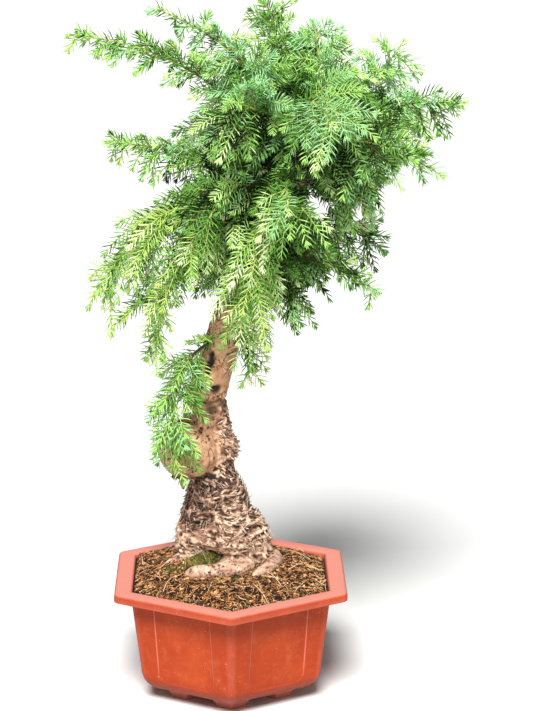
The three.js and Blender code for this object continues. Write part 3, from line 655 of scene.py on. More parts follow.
def grow_inside():
    """Shaded shoots along the boughs and the upper trunk, which hide most of the wood."""
    random = np.random.default_rng(SEED * 300)
    starts = []
    for bend in bough_bends.values():
        starts += [bend.spot(along) for along in random.uniform(*INNER.along, INNER.on_bough)]
    for z in random.uniform(INNER.low, INNER.high, INNER.on_trunk):
        starts.append((on_trunk(z), unit((*random_way(random), 0.5))))
    for root, forward in starts:
        way = turned(forward, INNER.spread, random)
        shoot = Shoot(root, way, random.uniform(*INNER.length), random.uniform(*INNER.hang))
        # shoots low inside the crown take the inner hue, its darkest tints: painted shade
        settle([shoot], "inner" if root[2] < INNER.dark else "shade", INNER, random)


def grow_outward():
    """Long shoots from the outer half of every bough, out of the crown and down, between the masses."""
    random = np.random.default_rng(SEED * 400)
    for name, bend in bough_bends.items():
        for along in random.uniform(*LONG.along, LONG.on_bough):
            root, forward = bend.spot(along)
            way = turned(unit(facing_at(root) + 0.5 * forward), LONG.spread, random)
            tries = (
                Shoot(root, way, random.uniform(*LONG.length) * t, random.uniform(*LONG.hang))
                for t in TRIMS)
            settle(tries, MASSES[name][-1], LONG, random)


for index, name in enumerate(MASSES):
    grow(name, index)
grow_inside()
grow_outward()

# Needles: two long rows beside each twig, shorter ones above and below it, and a crest at its tip

NEEDLE = Sizes(length=20.5, width=0.98, angle=62, tip_angle=28)
ROWS = [  # turn round the twig in degrees, distance apart, size
    (hand * turn, pitch, size) for turn, pitch, size in ((80, 6.0, 1.0), (28, 32.0, 0.6), (140, 36.0, 0.6))
    for hand in (1, -1)]


def needles_of(shoot, brush, random):
    """Roots, directions, headings of the twig, lengths and places along the twig of one shoot's needles."""
    shares, turns, sizes = [], [], []
    for turn, pitch, size in ROWS:
        if brush > 0.7 and size < 1:
            pitch = 0.3 * pitch
        count = max(int(shoot.length * 0.95 / pitch), 2)
        shares.append(0.05 + 0.93 * (np.arange(count) + random.uniform(0.3, 0.7, count)) / count)
        turns.append(np.radians(turn + random.normal(0, 4 + 46 * brush**1.5, count)))
        sizes.append(np.full(count, size))
    crest = random.integers(4, 7)
    shares.append(random.uniform(0.96, 1.0, crest))
    turns.append(round_angles(crest) + random.uniform(-0.3, 0.3, crest))
    sizes.append(np.full(crest, 0.75))
    share, turn, size = map(np.concatenate, (shares, turns, sizes))
    at, ahead, side = shoot.place(share), shoot.ahead(share), shoot.side(share)
    out = np.cross(side, ahead) * np.cos(turn)[:, None] + side * np.sin(turn)[:, None]
    angle = NEEDLE.angle + (NEEDLE.tip_angle - NEEDLE.angle) * share**2
    angle = np.radians(angle + random.normal(0, 3.5, len(share)))[:, None]
    way = ahead * np.cos(angle) + out * np.sin(angle)
    length = NEEDLE.length * size * np.minimum(1, 0.66 + 2 * share) * (1 - 0.5 * share**4)
    return at, way, ahead, length * random.uniform(0.88, 1.08, len(share)), share


def needle_mesh(at, way, ahead, length, width):
    """Three-sided needles, thickest before the middle, that curve a little towards the end of the twig."""
    across = unit(np.cross(way, ahead))
    over = np.cross(way, across)
    angles = np.radians([90, 210, 330])
    ring = across[:, None] * np.cos(angles)[:, None] + over[:, None] * np.sin(angles)[:, None]
    ring = ring * width[:, None, None]
    reach = length[:, None]
    middle = at + way * reach * 0.6 + ahead * reach * 0.05
    tip = at + way * reach * 0.96 + ahead * reach * 0.17
    points = np.concatenate([at[:, None] + ring * 0.7, middle[:, None] + ring, tip[:, None]], axis=1)
    i, j = np.arange(3), (np.arange(3) + 1) % 3
    one = np.concatenate([
        np.stack([i, j, j + 3], 1), np.stack([i, j + 3, i + 3], 1),
        np.stack([i + 3, j + 3, np.full(3, 6)], 1)])
    faces = one[None] + points.shape[1] * np.arange(len(at))[:, None, None]
    return points.reshape(-1, 3), faces.reshape(-1, 3)


needles = {tint: [] for tint in TINTS}
green_twigs, brown_twigs = Bag(), Bag()
for number, (shoot, hue, brush, young) in enumerate(shoots):
    random = np.random.default_rng(SEED * 1000 + number)
    at, way, ahead, length, share = needles_of(shoot, brush, random)
    old, new = (names[random.integers(len(names))] for names in map(str.split, HUES[hue]))
    late = share > (0.55 + random.normal(0, 0.1, len(share))) if young else np.zeros(len(share), bool)
    width = NEEDLE.width * random.uniform(0.9, 1.15, len(share))
    aged = random.random(len(share)) < AGED
    for tint, own in ((old, ~late), (new, late)):
        for shade, some in ((tint, own & ~aged), (OLDER[tint], own & aged)):
            needles[shade].append([part[some] for part in (at, way, ahead, length, width)])
    bag = brown_twigs if hue in ("shade", "inner", "hollow_shade") else green_twigs
    bag.add(*tube(shoot.place(np.linspace(0, 0.98, 6)), np.linspace(1.15, 0.5, 6), 4, closed=False))
for line in stem_bends.values():
    for bag, along in ((brown_twigs, np.linspace(0, 0.4, 6)), (green_twigs, np.linspace(0.4, 0.97, 9))):
        bag.add(*tube(line.place(along), 2.6 - 1.8 * along, 6))


# Materials

def plain(name, colour, roughness, specular=0.5):
    """A material with plain values on the sockets of its shader."""
    made = bpy.data.materials.new(name)
    made.use_nodes = True
    sockets = made.node_tree.nodes["Principled BSDF"].inputs
    sockets["Base Color"].default_value = linear(colour)
    sockets["Roughness"].default_value = roughness
    sockets["Specular IOR Level"].default_value = specular
    return made


class Nodes:
    """A material, with short ways to add and join its nodes."""

    def __init__(self, *values):
        self.material = plain(*values)
        self.tree = self.material.node_tree
        self.place = self.add("ShaderNodeTexCoord").outputs["Object"]

    def add(self, kind, inputs=None, **settings):
        node = self.tree.nodes.new(kind)
        for key, value in settings.items():
            setattr(node, key, value)
        for key, value in (inputs or {}).items():
            if isinstance(value, bpy.types.NodeSocket):
                self.tree.links.new(value, node.inputs[key])
            else:
                node.inputs[key].default_value = value
        return node

    def noise(self, scale, detail=4, roughness=0.6, stretch=None, distortion=0.0):
        place = self.place
        if stretch:
            place = self.add("ShaderNodeMapping", {"Vector": place, "Scale": stretch}).outputs[0]
        inputs = {
            "Vector": place, "Scale": scale, "Detail": detail,
            "Roughness": roughness, "Distortion": distortion}
        return self.add("ShaderNodeTexNoise", inputs).outputs["Fac"]

    def value(self, name):
        return self.add("ShaderNodeAttribute", attribute_name=name).outputs["Fac"]

    def ramp(self, factor, *stops):
        node = self.add("ShaderNodeValToRGB", {"Fac": factor})
        elements = node.color_ramp.elements
        while len(elements) < len(stops):
            elements.new(0.5)
        for element, (position, colour) in zip(elements, stops):
            element.position = position
            element.color = linear(colour)
        return node.outputs["Color"]

    def spread(self, factor, low, high, to_low=0.0, to_high=1.0):
        inputs = {"Value": factor, "From Min": low, "From Max": high, "To Min": to_low, "To Max": to_high}
        return self.add("ShaderNodeMapRange", inputs).outputs["Result"]

    def mix(self, factor, a, b, blend="MIX"):
        b = linear(b) if isinstance(b, tuple) else b
        node = self.add("ShaderNodeMix", {0: factor, 6: a, 7: b}, data_type="RGBA", blend_type=blend)
        return node.outputs[2]

    def times(self, a, b):
        return self.add("ShaderNodeMath", {0: a, 1: b}, operation="MULTIPLY").outputs[0]

    def link(self, socket, key):
        self.tree.links.new(socket, self.tree.nodes["Principled BSDF"].inputs[key])

    def bump(self, height, strength, distance):
        node = self.add("ShaderNodeBump", {"Height": height, "Strength": strength, "Distance": distance})
        self.link(node.outputs["Normal"], "Normal")


def bark_material():
    n = Nodes("bark", (163, 129, 107), 0.85)
    relief = n.value("relief")
    grain = n.noise(260, 5, 0.7)
    # the relief attribute is the bark's lightness, painted shade included, and sets the tone in each ramp
    rough = n.ramp(
        relief, (0.25, (14, 8, 5)), (0.45, (80, 52, 37)), (0.62, (174, 134, 108)), (0.86, (250, 220, 193)))
    sleek = n.ramp(
        relief, (0.1, (70, 42, 26)), (0.36, (178, 130, 92)), (0.58, (226, 178, 140)), (0.9, (254, 224, 192)))
    pink = n.ramp(relief, (0.3, (122, 84, 66)), (0.6, (206, 162, 136)), (0.9, (250, 216, 190)))
    mottle = n.ramp(
        n.noise(90, 6, 0.7), (0.3, (120, 104, 92)), (0.5, (226, 220, 214)), (0.72, (255, 250, 244)))
    dots = n.spread(n.noise(300, 3, 0.6, distortion=0.8), 0.54, 0.62)
    colour = n.mix(n.value("smoothness"), rough, sleek)
    colour = n.mix(n.value("root"), colour, pink)
    colour = n.mix(0.75, colour, mottle, "MULTIPLY")
    colour = n.mix(n.times(dots, n.spread(n.noise(40, 3), 0.4, 0.56)), colour, (58, 34, 22))
    # scars near black: painted shade in their hollows
    colour = n.mix(n.value("scar"), colour, (30, 23, 20))
    n.link(colour, "Base Color")
    n.link(n.spread(grain, 0.3, 0.7, 0.7, 0.95), "Roughness")
    n.bump(grain, 0.5, 0.0015)
    return n.material


def fibre_material(name, dark, light):
    n = Nodes(name, light, 0.8)
    n.link(n.ramp(n.noise(140, 3), (0.3, dark), (0.68, light)), "Base Color")
    return n.material


def soil_material():
    n = Nodes("soil", (110, 76, 46), 0.95)
    fine = n.noise(420, 6, 0.75)
    # near-black in the lowest stops: the soil's own dark tone, with painted shade under the crumbs and fibres
    # that lie on the mound
    colour = n.ramp(
        fine, (0.28, (12, 7, 3)), (0.46, (44, 27, 14)), (0.6, (90, 60, 34)), (0.76, (160, 116, 74)))
    tone = n.ramp(n.noise(38, 4), (0.3, (176, 166, 150)), (0.7, (255, 255, 255)))
    n.link(n.mix(0.8, colour, tone, "MULTIPLY"), "Base Color")
    n.bump(fine, 0.9, 0.002)
    return n.material


def pot_material():
    n = Nodes("terracotta_plastic", (180, 62, 22), 0.5, 0.2)
    dust, wear = n.noise(60, 8, 0.75, distortion=0.4), n.value("wear")
    streak = n.noise(120, 5, 0.7, stretch=(1, 1, 0.08))
    body = n.ramp(n.noise(14, 5, 0.65), (0.3, (156, 50, 14)), (0.55, (168, 59, 18)), (0.75, (180, 70, 27)))
    film = n.times(n.spread(dust, 0.5, 0.78, 0.0, 0.55), n.spread(streak, 0.35, 0.7))
    height = n.add("ShaderNodeSeparateXYZ", {"Vector": n.place}).outputs["Z"]
    # darker towards the bottom: painted shade on the lower rounding, kept off the pale feet
    low_shade = n.times(n.spread(height, 0.042, 0.02, 0.0, 0.75), n.spread(dust, 0.3, 0.6, 0.5, 1.0))
    body = n.mix(film, body, (206, 122, 86))
    body = n.mix(n.spread(n.noise(420, 3, 0.6), 0.68, 0.74, 0.0, 0.8), body, (236, 176, 150))
    # pale pink: wear, painted light on the shaded feet and painted sheen on the rim
    body = n.mix(wear, body, (226, 150, 134))
    body = n.mix(n.times(low_shade, n.spread(wear, 0.0, 0.5, 1.0, 0.25)), body, (84, 32, 14))
    n.link(body, "Base Color")
    n.link(n.spread(dust, 0.3, 0.75, 0.42, 0.66), "Roughness")
    n.bump(n.noise(500, 4), 0.12, 0.0006)
    return n.material


# Needles and twigs as meshes

MOST_NEEDLES = 21111  # of nine triangles each, in one piece
for tint, groups in needles.items():
    parts = [np.concatenate(columns) for columns in zip(*groups)]
    count = -(-len(parts[0]) // MOST_NEEDLES)
    per = -(-len(parts[0]) // count)
    material = plain(f"needle_{tint}", TINTS[tint], 0.5, 0.18)
    for k in range(count):
        shape = needle_mesh(*[part[k * per:(k + 1) * per] for part in parts])
        piece(f"needles_{tint}_{k + 1}", shape, material, smooth=False)
twig_brown = fibre_material("twig_brown", (44, 38, 20), (104, 92, 46))
twig_green = fibre_material("twig_green", (132, 148, 66), (196, 204, 116))
piece("brown_twigs", brown_twigs.shape(), twig_brown,
      replaced=[f"{name}_foliage" for name in MASSES])
piece("green_twigs", green_twigs.shape(), twig_green)

# Bark: trunk, burl, surface roots and boughs as one skin with relief

VOXEL = 1.8
# the crease and under heights mark where painted shade lies along the crease and under the burl
BARK = Sizes(  # heights at which the bark changes
    sleek=424, burl=330, scaly=344, shaggy=238, slim=560, hollow=228, crease=437, under=328)
# each scar is painted dark inside its cut, as shade in the hollow
SCARS = [  # place, half sizes across, in depth and in height, how deep it is cut and how dark it is
    ((-26, -22, 502), (4, 14, 11), 2.5, 1.0),
    ((-31, -22, 488), (4, 14, 10), 2.5, 1.0),
    ((-20, -21, 457), (7, 14, 6), 6.0, 0.95),
    ((-26, -23, 428), (9, 12, 6), 0.8, 0.7),
    ((-52, -10, 486), (6, 12, 8), 2.0, 0.8),
    ((-18, -36, 293), (6, 12, 5), 5.0, 0.9),
    ((-6, 30, 470), (7, 14, 9), 4.0, 0.9),
    ((16, 14, 560), (6, 12, 10), 3.0, 0.8),
]
ROOT_END = np.array([1] * 20 + [0.97, 0.88, 0.7, 0.4])  # the last steps of a root round off


def root_run(path, last):
    sink = [0.65] * (len(path) - 1) + [0.2]
    places = [(TRUNK[0][0] + x, TRUNK[0][1] + y, GROUND + s * last) for (x, y), s in zip(path, sink)]
    return catmull_rom(places, len(ROOT_END))


root_runs = [(root_run(path, last), first, last) for path, first, last in ROOTS]


def ball(place, radius, rings=24, sides=48):
    angle = round_angles(sides)
    rows = []
    for rise in np.linspace(-0.49, 0.49, rings) * np.pi:
        out, up = math.cos(rise), np.full(sides, math.sin(rise))
        rows.append(np.stack([np.cos(angle) * out, np.sin(angle) * out, up], 1))
    return stack(np.concatenate(rows) * radius + place, sides)


def limb_skin(sides=72):
    """Closed tubes of all limbs, to be joined into one skin."""
    bag = Bag()
    line, angle = catmull_rom(TRUNK, 140), round_angles(sides)
    fade = clamp((FLARE.top - line[:, 2]) / (FLARE.top - GROUND))[:, None]
    lobe = 1 + FLARE.depth * fade * np.cos(FLARE.lobes * angle + FLARE.turn)
    deep = lobe * (1 - FLARE.flat * fade)
    ring = np.stack([np.cos(angle) * lobe, np.sin(angle) * deep, np.zeros_like(lobe)], axis=2)
    bag.add(*stack((line[:, None, :3] + ring * line[:, None, 3:]).reshape(-1, 3), sides))
    for burl in BURLS:
        bag.add(*ball(burl[:3], burl[3]))
    for run, first, last in root_runs:
        bag.add(*tube(run, np.linspace(first, last, len(run)) * ROOT_END, 20))
    for bend, (_, _, first, last) in zip(bough_bends.values(), BOUGHS.values()):
        along = np.linspace(0, 1, 12)
        bag.add(*tube(bend.place(along), first + (last - first) * along, 14))
    return bag.shape()


def joined_skin(points, faces):
    """One even skin round overlapping closed skins: its points, quads and outward directions."""
    mesh = bpy.data.meshes.new("limbs")
    mesh.from_pydata(points.tolist(), [], faces.tolist())
    made = shown("limbs", mesh)
    modifier = made.modifiers.new("even", "REMESH")
    modifier.mode = "VOXEL"
    modifier.voxel_size = VOXEL
    skin = bpy.data.meshes.new_from_object(made.evaluated_get(bpy.context.evaluated_depsgraph_get()))
    at, out = (np.empty(len(skin.vertices) * 3, np.float32) for _ in range(2))
    skin.vertices.foreach_get("co", at)
    skin.vertices.foreach_get("normal", out)
    quads = np.empty(len(skin.loops), np.int32)
    skin.loops.foreach_get("vertex_index", quads)
    bpy.data.objects.remove(made)
    return at.reshape(-1, 3).astype(float), quads.reshape(-1, 4), out.reshape(-1, 3).astype(float)


def off_roots(at):
    """Distance from the bark of the surface roots, below zero inside them."""
    gap = np.full(len(at), 1e3)
    low = at[:, 2] < GROUND + 40
    for run, first, last in root_runs:
        gap[low] = np.minimum(gap[low], distances(run[None], at[low])[0] - (first + last) / 2)
    return gap


def bark_relief(at):
    """How far the bark stands out, how light it is with painted shade in its grooves, cracks, pits and crease
    and under the burl, how smooth, how much of a root it is, and how scarred.
    """
    def lumps(size, seed, octaves=2):
        return noise(at, size, seed, octaves)

    x, y, z = at.T
    trunk_x, trunk_y, radius = trunk_at(z)

    # smooth bark above, shaggy bark below, and scales on the right of the burl
    burl = np.linalg.norm(at - BURLS[0][:3], axis=1) < BURLS[0][3] + 4
    smoothness = clamp((z - BARK.sleek - 14 * lumps(30, 5)) / 16)
    scaly = clamp((x + 22 + 10 * lumps(22, 8)) / 12)
    beside = (0.6 - 0.5 * scaly) * clamp((z - BARK.scaly - 12 * lumps(24, 6)) / 10)
    smoothness = np.where(burl & (z > BARK.burl), 1.0, np.maximum(smoothness, beside))
    root = clamp(1 - (off_roots(at) - 1.5) / 3)
    shaggy = clamp((z - BARK.shaggy - 30 * lumps(26, 7)) / 34)

    # folds, flakes and shreds of the rough bark; swellings, cracks and pits of the smooth bark
    warp = np.stack([lumps(34, s) for s in (11, 12, 13)], axis=1)
    folds = 1 - np.abs(noise(at * (0.7, 0.7, 1.5) + warp * 26, 34, 21, 2)) * 2.4
    flakes = 1 - np.abs(noise(at * (0.7, 0.7, 1.4) + warp * 16, 11, 31, 2)) * 2.4
    shreds = noise(at * (0.7, 0.7, 1.5) + warp * 10, 4.5, 41, 2)
    rough = (6.0 - 2.5 * shaggy) * (folds - 0.45) + 1.6 * flakes + 0.8 * shreds
    broad = lumps(36, 51)
    crack = np.abs(noise(at * (1, 1, 0.7) + warp * 10, 19, 61, 2))
    cracks = clamp(1 - crack / 0.05) * (lumps(26, 71, 1) > -0.05)
    pits = clamp((noise(at + warp * 9, 5.5, 81, 3) - 0.4) * 6)
    sleek = 1.5 * broad + 0.9 * lumps(7, 91) - 1.5 * cracks - 1.6 * pits

    # relief, less on slim limbs, and lightness: the bark's own tone, with painted shade in the grooves
    # between folds and in cracks and pits
    slim = np.where(np.hypot(x - trunk_x, y - trunk_y) > radius + 9, 0.25, np.clip(radius / 26, 0.2, 1))
    out = np.where(z < BARK.slim, 1, slim) * (rough * (1 - smoothness) + sleek * smoothness)
    out = out * (1 - root) + root * (2.4 * lumps(18, 97) + 1.1 * lumps(5, 98))
    light = 0.5 + (1 - smoothness) * (0.2 * folds + 0.32 * flakes + 0.36 * shreds - 0.02 - 0.14 * shaggy)
    light = light + smoothness * (0.05 + 0.22 * broad + 0.24 * lumps(9, 95, 3) - 0.42 * cracks - 0.6 * pits)
    light = light * (1 - root) + root * (0.7 + 0.34 * lumps(7, 99, 3) - 0.5 * cracks - 0.7 * pits)

    # hollow behind the front root, scars, the crease above the burl with painted shade in it, and painted
    # shade under the burl
    hollow = np.exp(-(((x + 30) / 46) ** 2)) * clamp((BARK.hollow - z) / 16) * (y < -8) * (1 - root)
    out = out - 13 * hollow
    scar, ragged = np.zeros(len(at)), 0.35 * lumps(7, 101)
    for place, half, depth, dark in SCARS:
        inside = clamp(1.25 - np.linalg.norm((at - np.array(place)) / np.array(half), axis=1) + ragged)
        bite = clamp(inside * 2.2)
        out = out - depth * bite
        scar = np.maximum(scar, dark * bite)
    crease = np.exp(-(((z - BARK.crease + 4 * lumps(20, 111, 1)) / 3.5) ** 2))
    under = np.exp(-(((z - BARK.under + 3 * lumps(20, 121, 1)) / 7) ** 2)) * (x < -20)
    light = light - 0.25 * crease - 0.4 * under
    return out - 3.0 * crease, clamp(light), smoothness, root, scar


skin_at, skin_quads, skin_out = joined_skin(*limb_skin())
relief, light, smoothness, root, scar = bark_relief(skin_at)
bark_at = skin_at + skin_out * relief[:, None]
bark_at[:, 2] = np.maximum(bark_at[:, 2], GROUND - 2)
piece("bark", (bark_at, skin_quads), bark_material(),
      replaced=["trunk", *(f"{name}_bough" for name in BOUGHS)],
      attributes={"relief": light, "smoothness": smoothness, "root": root, "scar": scar})

# Loose flakes and shreds of bark on the foot of the trunk

FLAKES = Sizes(count=2000, low=192, high=415, length=(4, 12), half=(0.7, 2.0), lift=4.5)
SHREDS = Sizes(count=700, length=(9, 24), radius=(0.22, 0.45))
FLAKE_TONES = (
    ("dark", (40, 26, 18), (96, 66, 48)), ("brown", (110, 80, 62), (168, 128, 102)),
    ("pale", (186, 152, 126), (244, 214, 188)))
FLAKE_SHARES = Sizes(above=250, high=[0.36, 0.34, 0.3], low=[0.2, 0.35, 0.45])  # of the three tones
STRIP = Sizes(path=[(-62, -36, 340), (-66, -39, 331), (-68, -40, 322), (-67, -41, 314)], radii=[5, 6, 5, 1.5])


def flakes():
    """Thin plates along the folds of the bark, lifted at one end, loose threads and one hanging strip."""
    random = np.random.default_rng(SEED + 7)
    bags = [Bag(), Bag(), Bag()]
    z = skin_at[:, 2]
    free = (z > FLAKES.low) & (z < FLAKES.high) & (smoothness < 0.4) & (root < 0.3)
    weight = free * (0.6 + clamp((z - 235) / 30))
    chosen = random.choice(len(z), FLAKES.count + SHREDS.count, replace=False, p=weight / weight.sum())
    flow = noise(skin_at[chosen], 42, 131, 2) * 2.2 + random.normal(0, 0.4, len(chosen))
    s = np.linspace(0, 1, 5)[:, None]
    for number, (k, turn) in enumerate(zip(chosen, flow)):
        out = skin_out[k]
        level = unit(np.cross(UP, out))
        flat = level * math.cos(turn) + np.cross(out, level) * math.sin(turn)
        aside = np.cross(flat, out)
        bag = bags[random.choice(3, p=FLAKE_SHARES.high if z[k] > FLAKE_SHARES.above else FLAKE_SHARES.low)]
        if number < FLAKES.count:
            length = random.uniform(*FLAKES.length)
            lift = random.uniform(0, FLAKES.lift) * s**2 - 0.6
            bow = aside * length * random.uniform(-0.3, 0.3) * s**2
            path = bark_at[k] + flat * length * s + bow + out * lift
            radii = random.uniform(*FLAKES.half) * np.array([0.7, 1, 1, 0.8, 0.25])
            bag.add(*tube(path, radii, 4, start=out, flat=0.22))
        else:
            length = random.uniform(*SHREDS.length)
            curl = aside * random.uniform(-0.7, 0.7) * s**2
            curl = curl + out * (random.uniform(0, 0.5) * s**2 - 0.2 * s**4)
            radii = random.uniform(*SHREDS.radius) * np.array([1, 1, 0.9, 0.7, 0.3])
            bag.add(*tube(bark_at[k] + (flat * s + curl) * length, radii, 3))
    radii = np.interp(np.linspace(0, 3, 8), range(4), STRIP.radii)
    bags[1].add(*tube(catmull_rom(STRIP.path, 8), radii, 6, start=np.array([0.0, 1.0, 0.0]), flat=0.25))
    return bags


for bag, (kind, dark, pale) in zip(flakes(), FLAKE_TONES):
    piece(f"bark_flakes_{kind}", bag.shape(), fibre_material(f"flake_{kind}", dark, pale))

# Pot

POT = Sizes(height=174, wall=3, rim_half=167, rim_depth=12, rim_round=4, shoulder_half=144, waist_half=130,
            waist_height=54, base_half=96, base_height=16, corner=9)
PANEL = Sizes(depth=1.4, half=46, bottom=38, corner=14, slope=1.6)
# the feet are painted pale: partly wear, partly painted light where the pot's belly shades them
FOOT = Sizes(reach=104, upper=(30, 20, 7, 0), lower=(26, 15, 0, 3), wear=0.5)  # leg, width, bottom and inset
CORNERS = [-math.pi / 2 + corner * math.pi / 3 for corner in range(6)]
CORNER_STEPS = 8
EDGE_LINES = np.array([*np.arange(30, 45, 2.5), 45.2, 46, 46.8, 49, 52, 62, 76])
FLATS = np.concatenate([-EDGE_LINES[::-1], np.arange(-24, 25, 8), EDGE_LINES])  # lines of points up each side
FIXED, LOOSE = 52, 30  # lines further than the first from a side's middle are spread over what is left of it


def hexagon(half, radius, z):
    """One turn of a round-cornered hexagon, a corner to the front, and each point's place along its side."""
    ring, along = [], []
    reach = (half - radius) * 2 / math.sqrt(3)
    end = reach / 2
    for facing in CORNERS:
        for i in range(CORNER_STEPS + 1):
            angle = facing + (i / CORNER_STEPS - 0.5) * math.pi / 3
            ring.append((*(reach * toward(facing) + radius * toward(angle)), z))
            along.append(end)
        out = toward(facing + math.pi / 6)
        across = np.array([-out[1], out[0]])
        for a in FLATS:
            a = a if abs(a) <= FIXED else math.copysign(FIXED + (end - FIXED) * (abs(a) - FIXED) / LOOSE, a)
            ring.append((*(across * a + out * half), z))
            along.append(a)
    return np.array(ring), np.array(along)


def body_half(z):
    if z >= POT.waist_height:
        climb = (z - POT.waist_height) / (POT.height - POT.wall - POT.waist_height)
        return POT.waist_half + (POT.shoulder_half - POT.waist_half) * climb
    drop = (POT.waist_height - z) / (POT.waist_height - POT.base_height)
    return POT.base_half + (POT.waist_half - POT.base_half) * math.sqrt(max(1 - drop * drop, 0))


def panel_share(along, z):
    """1 inside a panel, 0 outside, by the distance to its outline."""
    x = np.maximum(np.abs(along) - (PANEL.half - PANEL.corner), 0)
    y = np.maximum(PANEL.bottom + PANEL.corner - z, 0)
    return clamp((PANEL.corner - np.hypot(x, y)) / PANEL.slope + 0.5)


def pot_rings():
    """Rings from the underside's middle up the outside, over the rim and down inside, and how pale each point
    is: wear, and painted sheen on the rim.
    """
    corner, wall, height, base, low = POT.corner, POT.wall, POT.height, POT.base_height, PANEL.bottom
    brim, under, lip = POT.rim_half, height - wall, height - POT.rim_depth
    inside = body_half(under) - wall
    # half size, corner radius, height and paleness of each ring, painted sheen on the rim
    rows = [(8, 3, base, 0), (POT.base_half - 4, corner, base, 0)]
    bottom = base + (POT.waist_height - base) * np.linspace(0, 1, 15) ** 1.6
    rows += [(body_half(z), corner, z, 0) for z in bottom if z < low - 3]
    first = len(rows)
    sides = [*np.arange(low - 2, low + 16, 1.6), *np.arange(low + 20, under - 1, 8), under]
    rows += [(body_half(z), corner, z, 0) for z in sides]
    panelled = range(first, len(rows))
    rows += [(brim - wall, corner, z, 0) for z in (under, lip)]
    # the rim's outer band, rounded top and inner edge are painted pale: painted sheen, a reflection of the
    # bright room
    rows += [(brim - 0.8, corner + wall, lip, 0), (brim, corner + wall, lip + 0.8, 0.15)]
    for angle in np.linspace(0, np.pi / 2, 7):
        out, up = POT.rim_round * (1 - math.cos(angle)), POT.rim_round * (1 - math.sin(angle))
        rows.append((brim - out, corner + wall, height - up, 0.05 + 0.75 * math.sin(angle) ** 3))
    for angle in np.linspace(np.pi / 2, 0, 6):
        out, up = POT.rim_round * (1 - math.cos(angle)), POT.rim_round * (1 - math.sin(angle))
        rows.append((inside + out, corner - wall, height - up, 0.3 + 0.5 * math.sin(angle) ** 3))
    rows += [(body_half(z) - wall, corner - wall, z, 0) for z in (160, 120, 54, 30, base + wall)]
    rings, wear = [], []
    for number, (half, radius, z, worn_and_lit) in enumerate(rows):
        points, along = hexagon(half, radius, z)
        # a faint pale line down the middle of each corner
        worn_and_lit = np.maximum(worn_and_lit, 0.07 * (along == along.max()))
        if number in panelled:
            share = panel_share(along, z)
            reach = np.linalg.norm(points[:, :2], axis=1, keepdims=True)
            points[:, :2] -= points[:, :2] / reach * (PANEL.depth * share)[:, None]
            # paler along the panels' outlines, less so low down
            edge = 1 - np.abs(2 * share - 1)
            worn_and_lit = np.maximum(worn_and_lit, 0.5 * edge * np.clip((z - 40) / 30, 0.12, 1))
        rings.append(points)
        wear.append(worn_and_lit)
    return np.array(rings), np.array(wear)


def foot_block(facing, leg, width, bottom, inset):
    """One tier of a foot: an angle piece under a corner, its lower edges a little rounded."""
    reach, inward = FOOT.reach - inset, width * 2 / math.sqrt(3)
    back, aside = reach - leg / 2, leg * 0.866
    outline = np.array([
        (reach, 0), (back, aside), (back - inward, aside),
        (reach - inward, 0), (back - inward, -aside), (back, -aside)])
    centre = np.array([reach - inward / 2 - leg / 4, 0])
    turn = np.array([(math.cos(facing), -math.sin(facing)), (math.sin(facing), math.cos(facing))])
    levels = [(bottom, 0.97), (bottom + 0.6, 1.0), (POT.base_height + 2, 1.0)]
    rows = [
        np.column_stack([((outline - centre) * grow + centre) @ turn.T, np.full(6, z)])
        for z, grow in levels]
    ends = [[0, 3, 2, 1], [0, 5, 4, 3], [12, 13, 14, 15], [12, 15, 16, 17]]
    return np.concatenate(rows), np.concatenate([ring_quads(len(levels), 6), ends])


def pot_mesh():
    rings, wear = pot_rings()
    bag, worn_and_lit = Bag(), [wear.ravel()]
    bag.add(rings.reshape(-1, 3), ring_quads(*wear.shape))
    for facing in CORNERS:
        for tier in (FOOT.upper, FOOT.lower):
            points, faces = foot_block(facing, *tier)
            bag.add(points, faces)
            worn_and_lit.append(np.full(len(points), FOOT.wear))
    return bag.shape(), np.concatenate(worn_and_lit)


pot_shape, pot_wear_and_light = pot_mesh()
pot = piece("pot_shell", pot_shape, pot_material(), replaced=["pot"], attributes={"wear": pot_wear_and_light})
pot.data.set_sharp_from_angle(angle=math.radians(40))

# Soil: a mound with relief, crumbs, fibres, straws and moss

SOIL = Sizes(edge=166, clear=0.5, x=-8, y=4, radius=92, sides=300, rings=110, levels=(30, 54, 110, 150),
             reach=158, margin=3, foot=58)
SOIL_HALF = body_half(SOIL.edge) - POT.wall  # inside of the pot at the edge of the soil
BANK = Sizes(x=-30, y=-18, long=46, wide=17, height=27)  # mossy earth between the front root and the trunk
CRUMBS = Sizes(count=2600, size=(0.9, 2.9), shares=[0.4, 0.4, 0.2])
FIBRES = Sizes(count=5600, length=(7, 20), radius=(0.3, 0.78), shares=[0.46, 0.34, 0.2],
               bow=(-2.6, 2.6), rise=(-1.0, 2.6), tilt=(-4, 5))
STRAWS = Sizes(count=26, length=(26, 56), radius=(0.45, 0.8), bow=(-0.3, 0.3), arch=(2, 7), lift=(0, 12))
MOSS = Sizes(tufts=60, on_bank=40, y=-31, around=(62, 86), blades=(16, 60), spread=3.2,
             length=(1.5, 6.5), width=0.55)
EARTH = (
    ("dark", (9, 5, 2), (56, 33, 16)), ("brown", (128, 80, 40), (196, 130, 72)),
    ("straw", (202, 142, 84), (252, 204, 148)))


def off_side(x, y):
    """Angle between a direction from the middle of the pot and the middle of the side that it meets."""
    return np.mod(np.arctan2(y, x) + np.pi / 2, np.pi / 3) - np.pi / 6


def keep_inside(flat, margin):
    """Pulls places on the soil back from the pot's wall."""
    x, y = flat.T
    reach = np.hypot(x, y) * np.cos(off_side(x, y))
    return flat * np.minimum(1, (SOIL_HALF - margin) / np.maximum(reach, 1))[:, None]


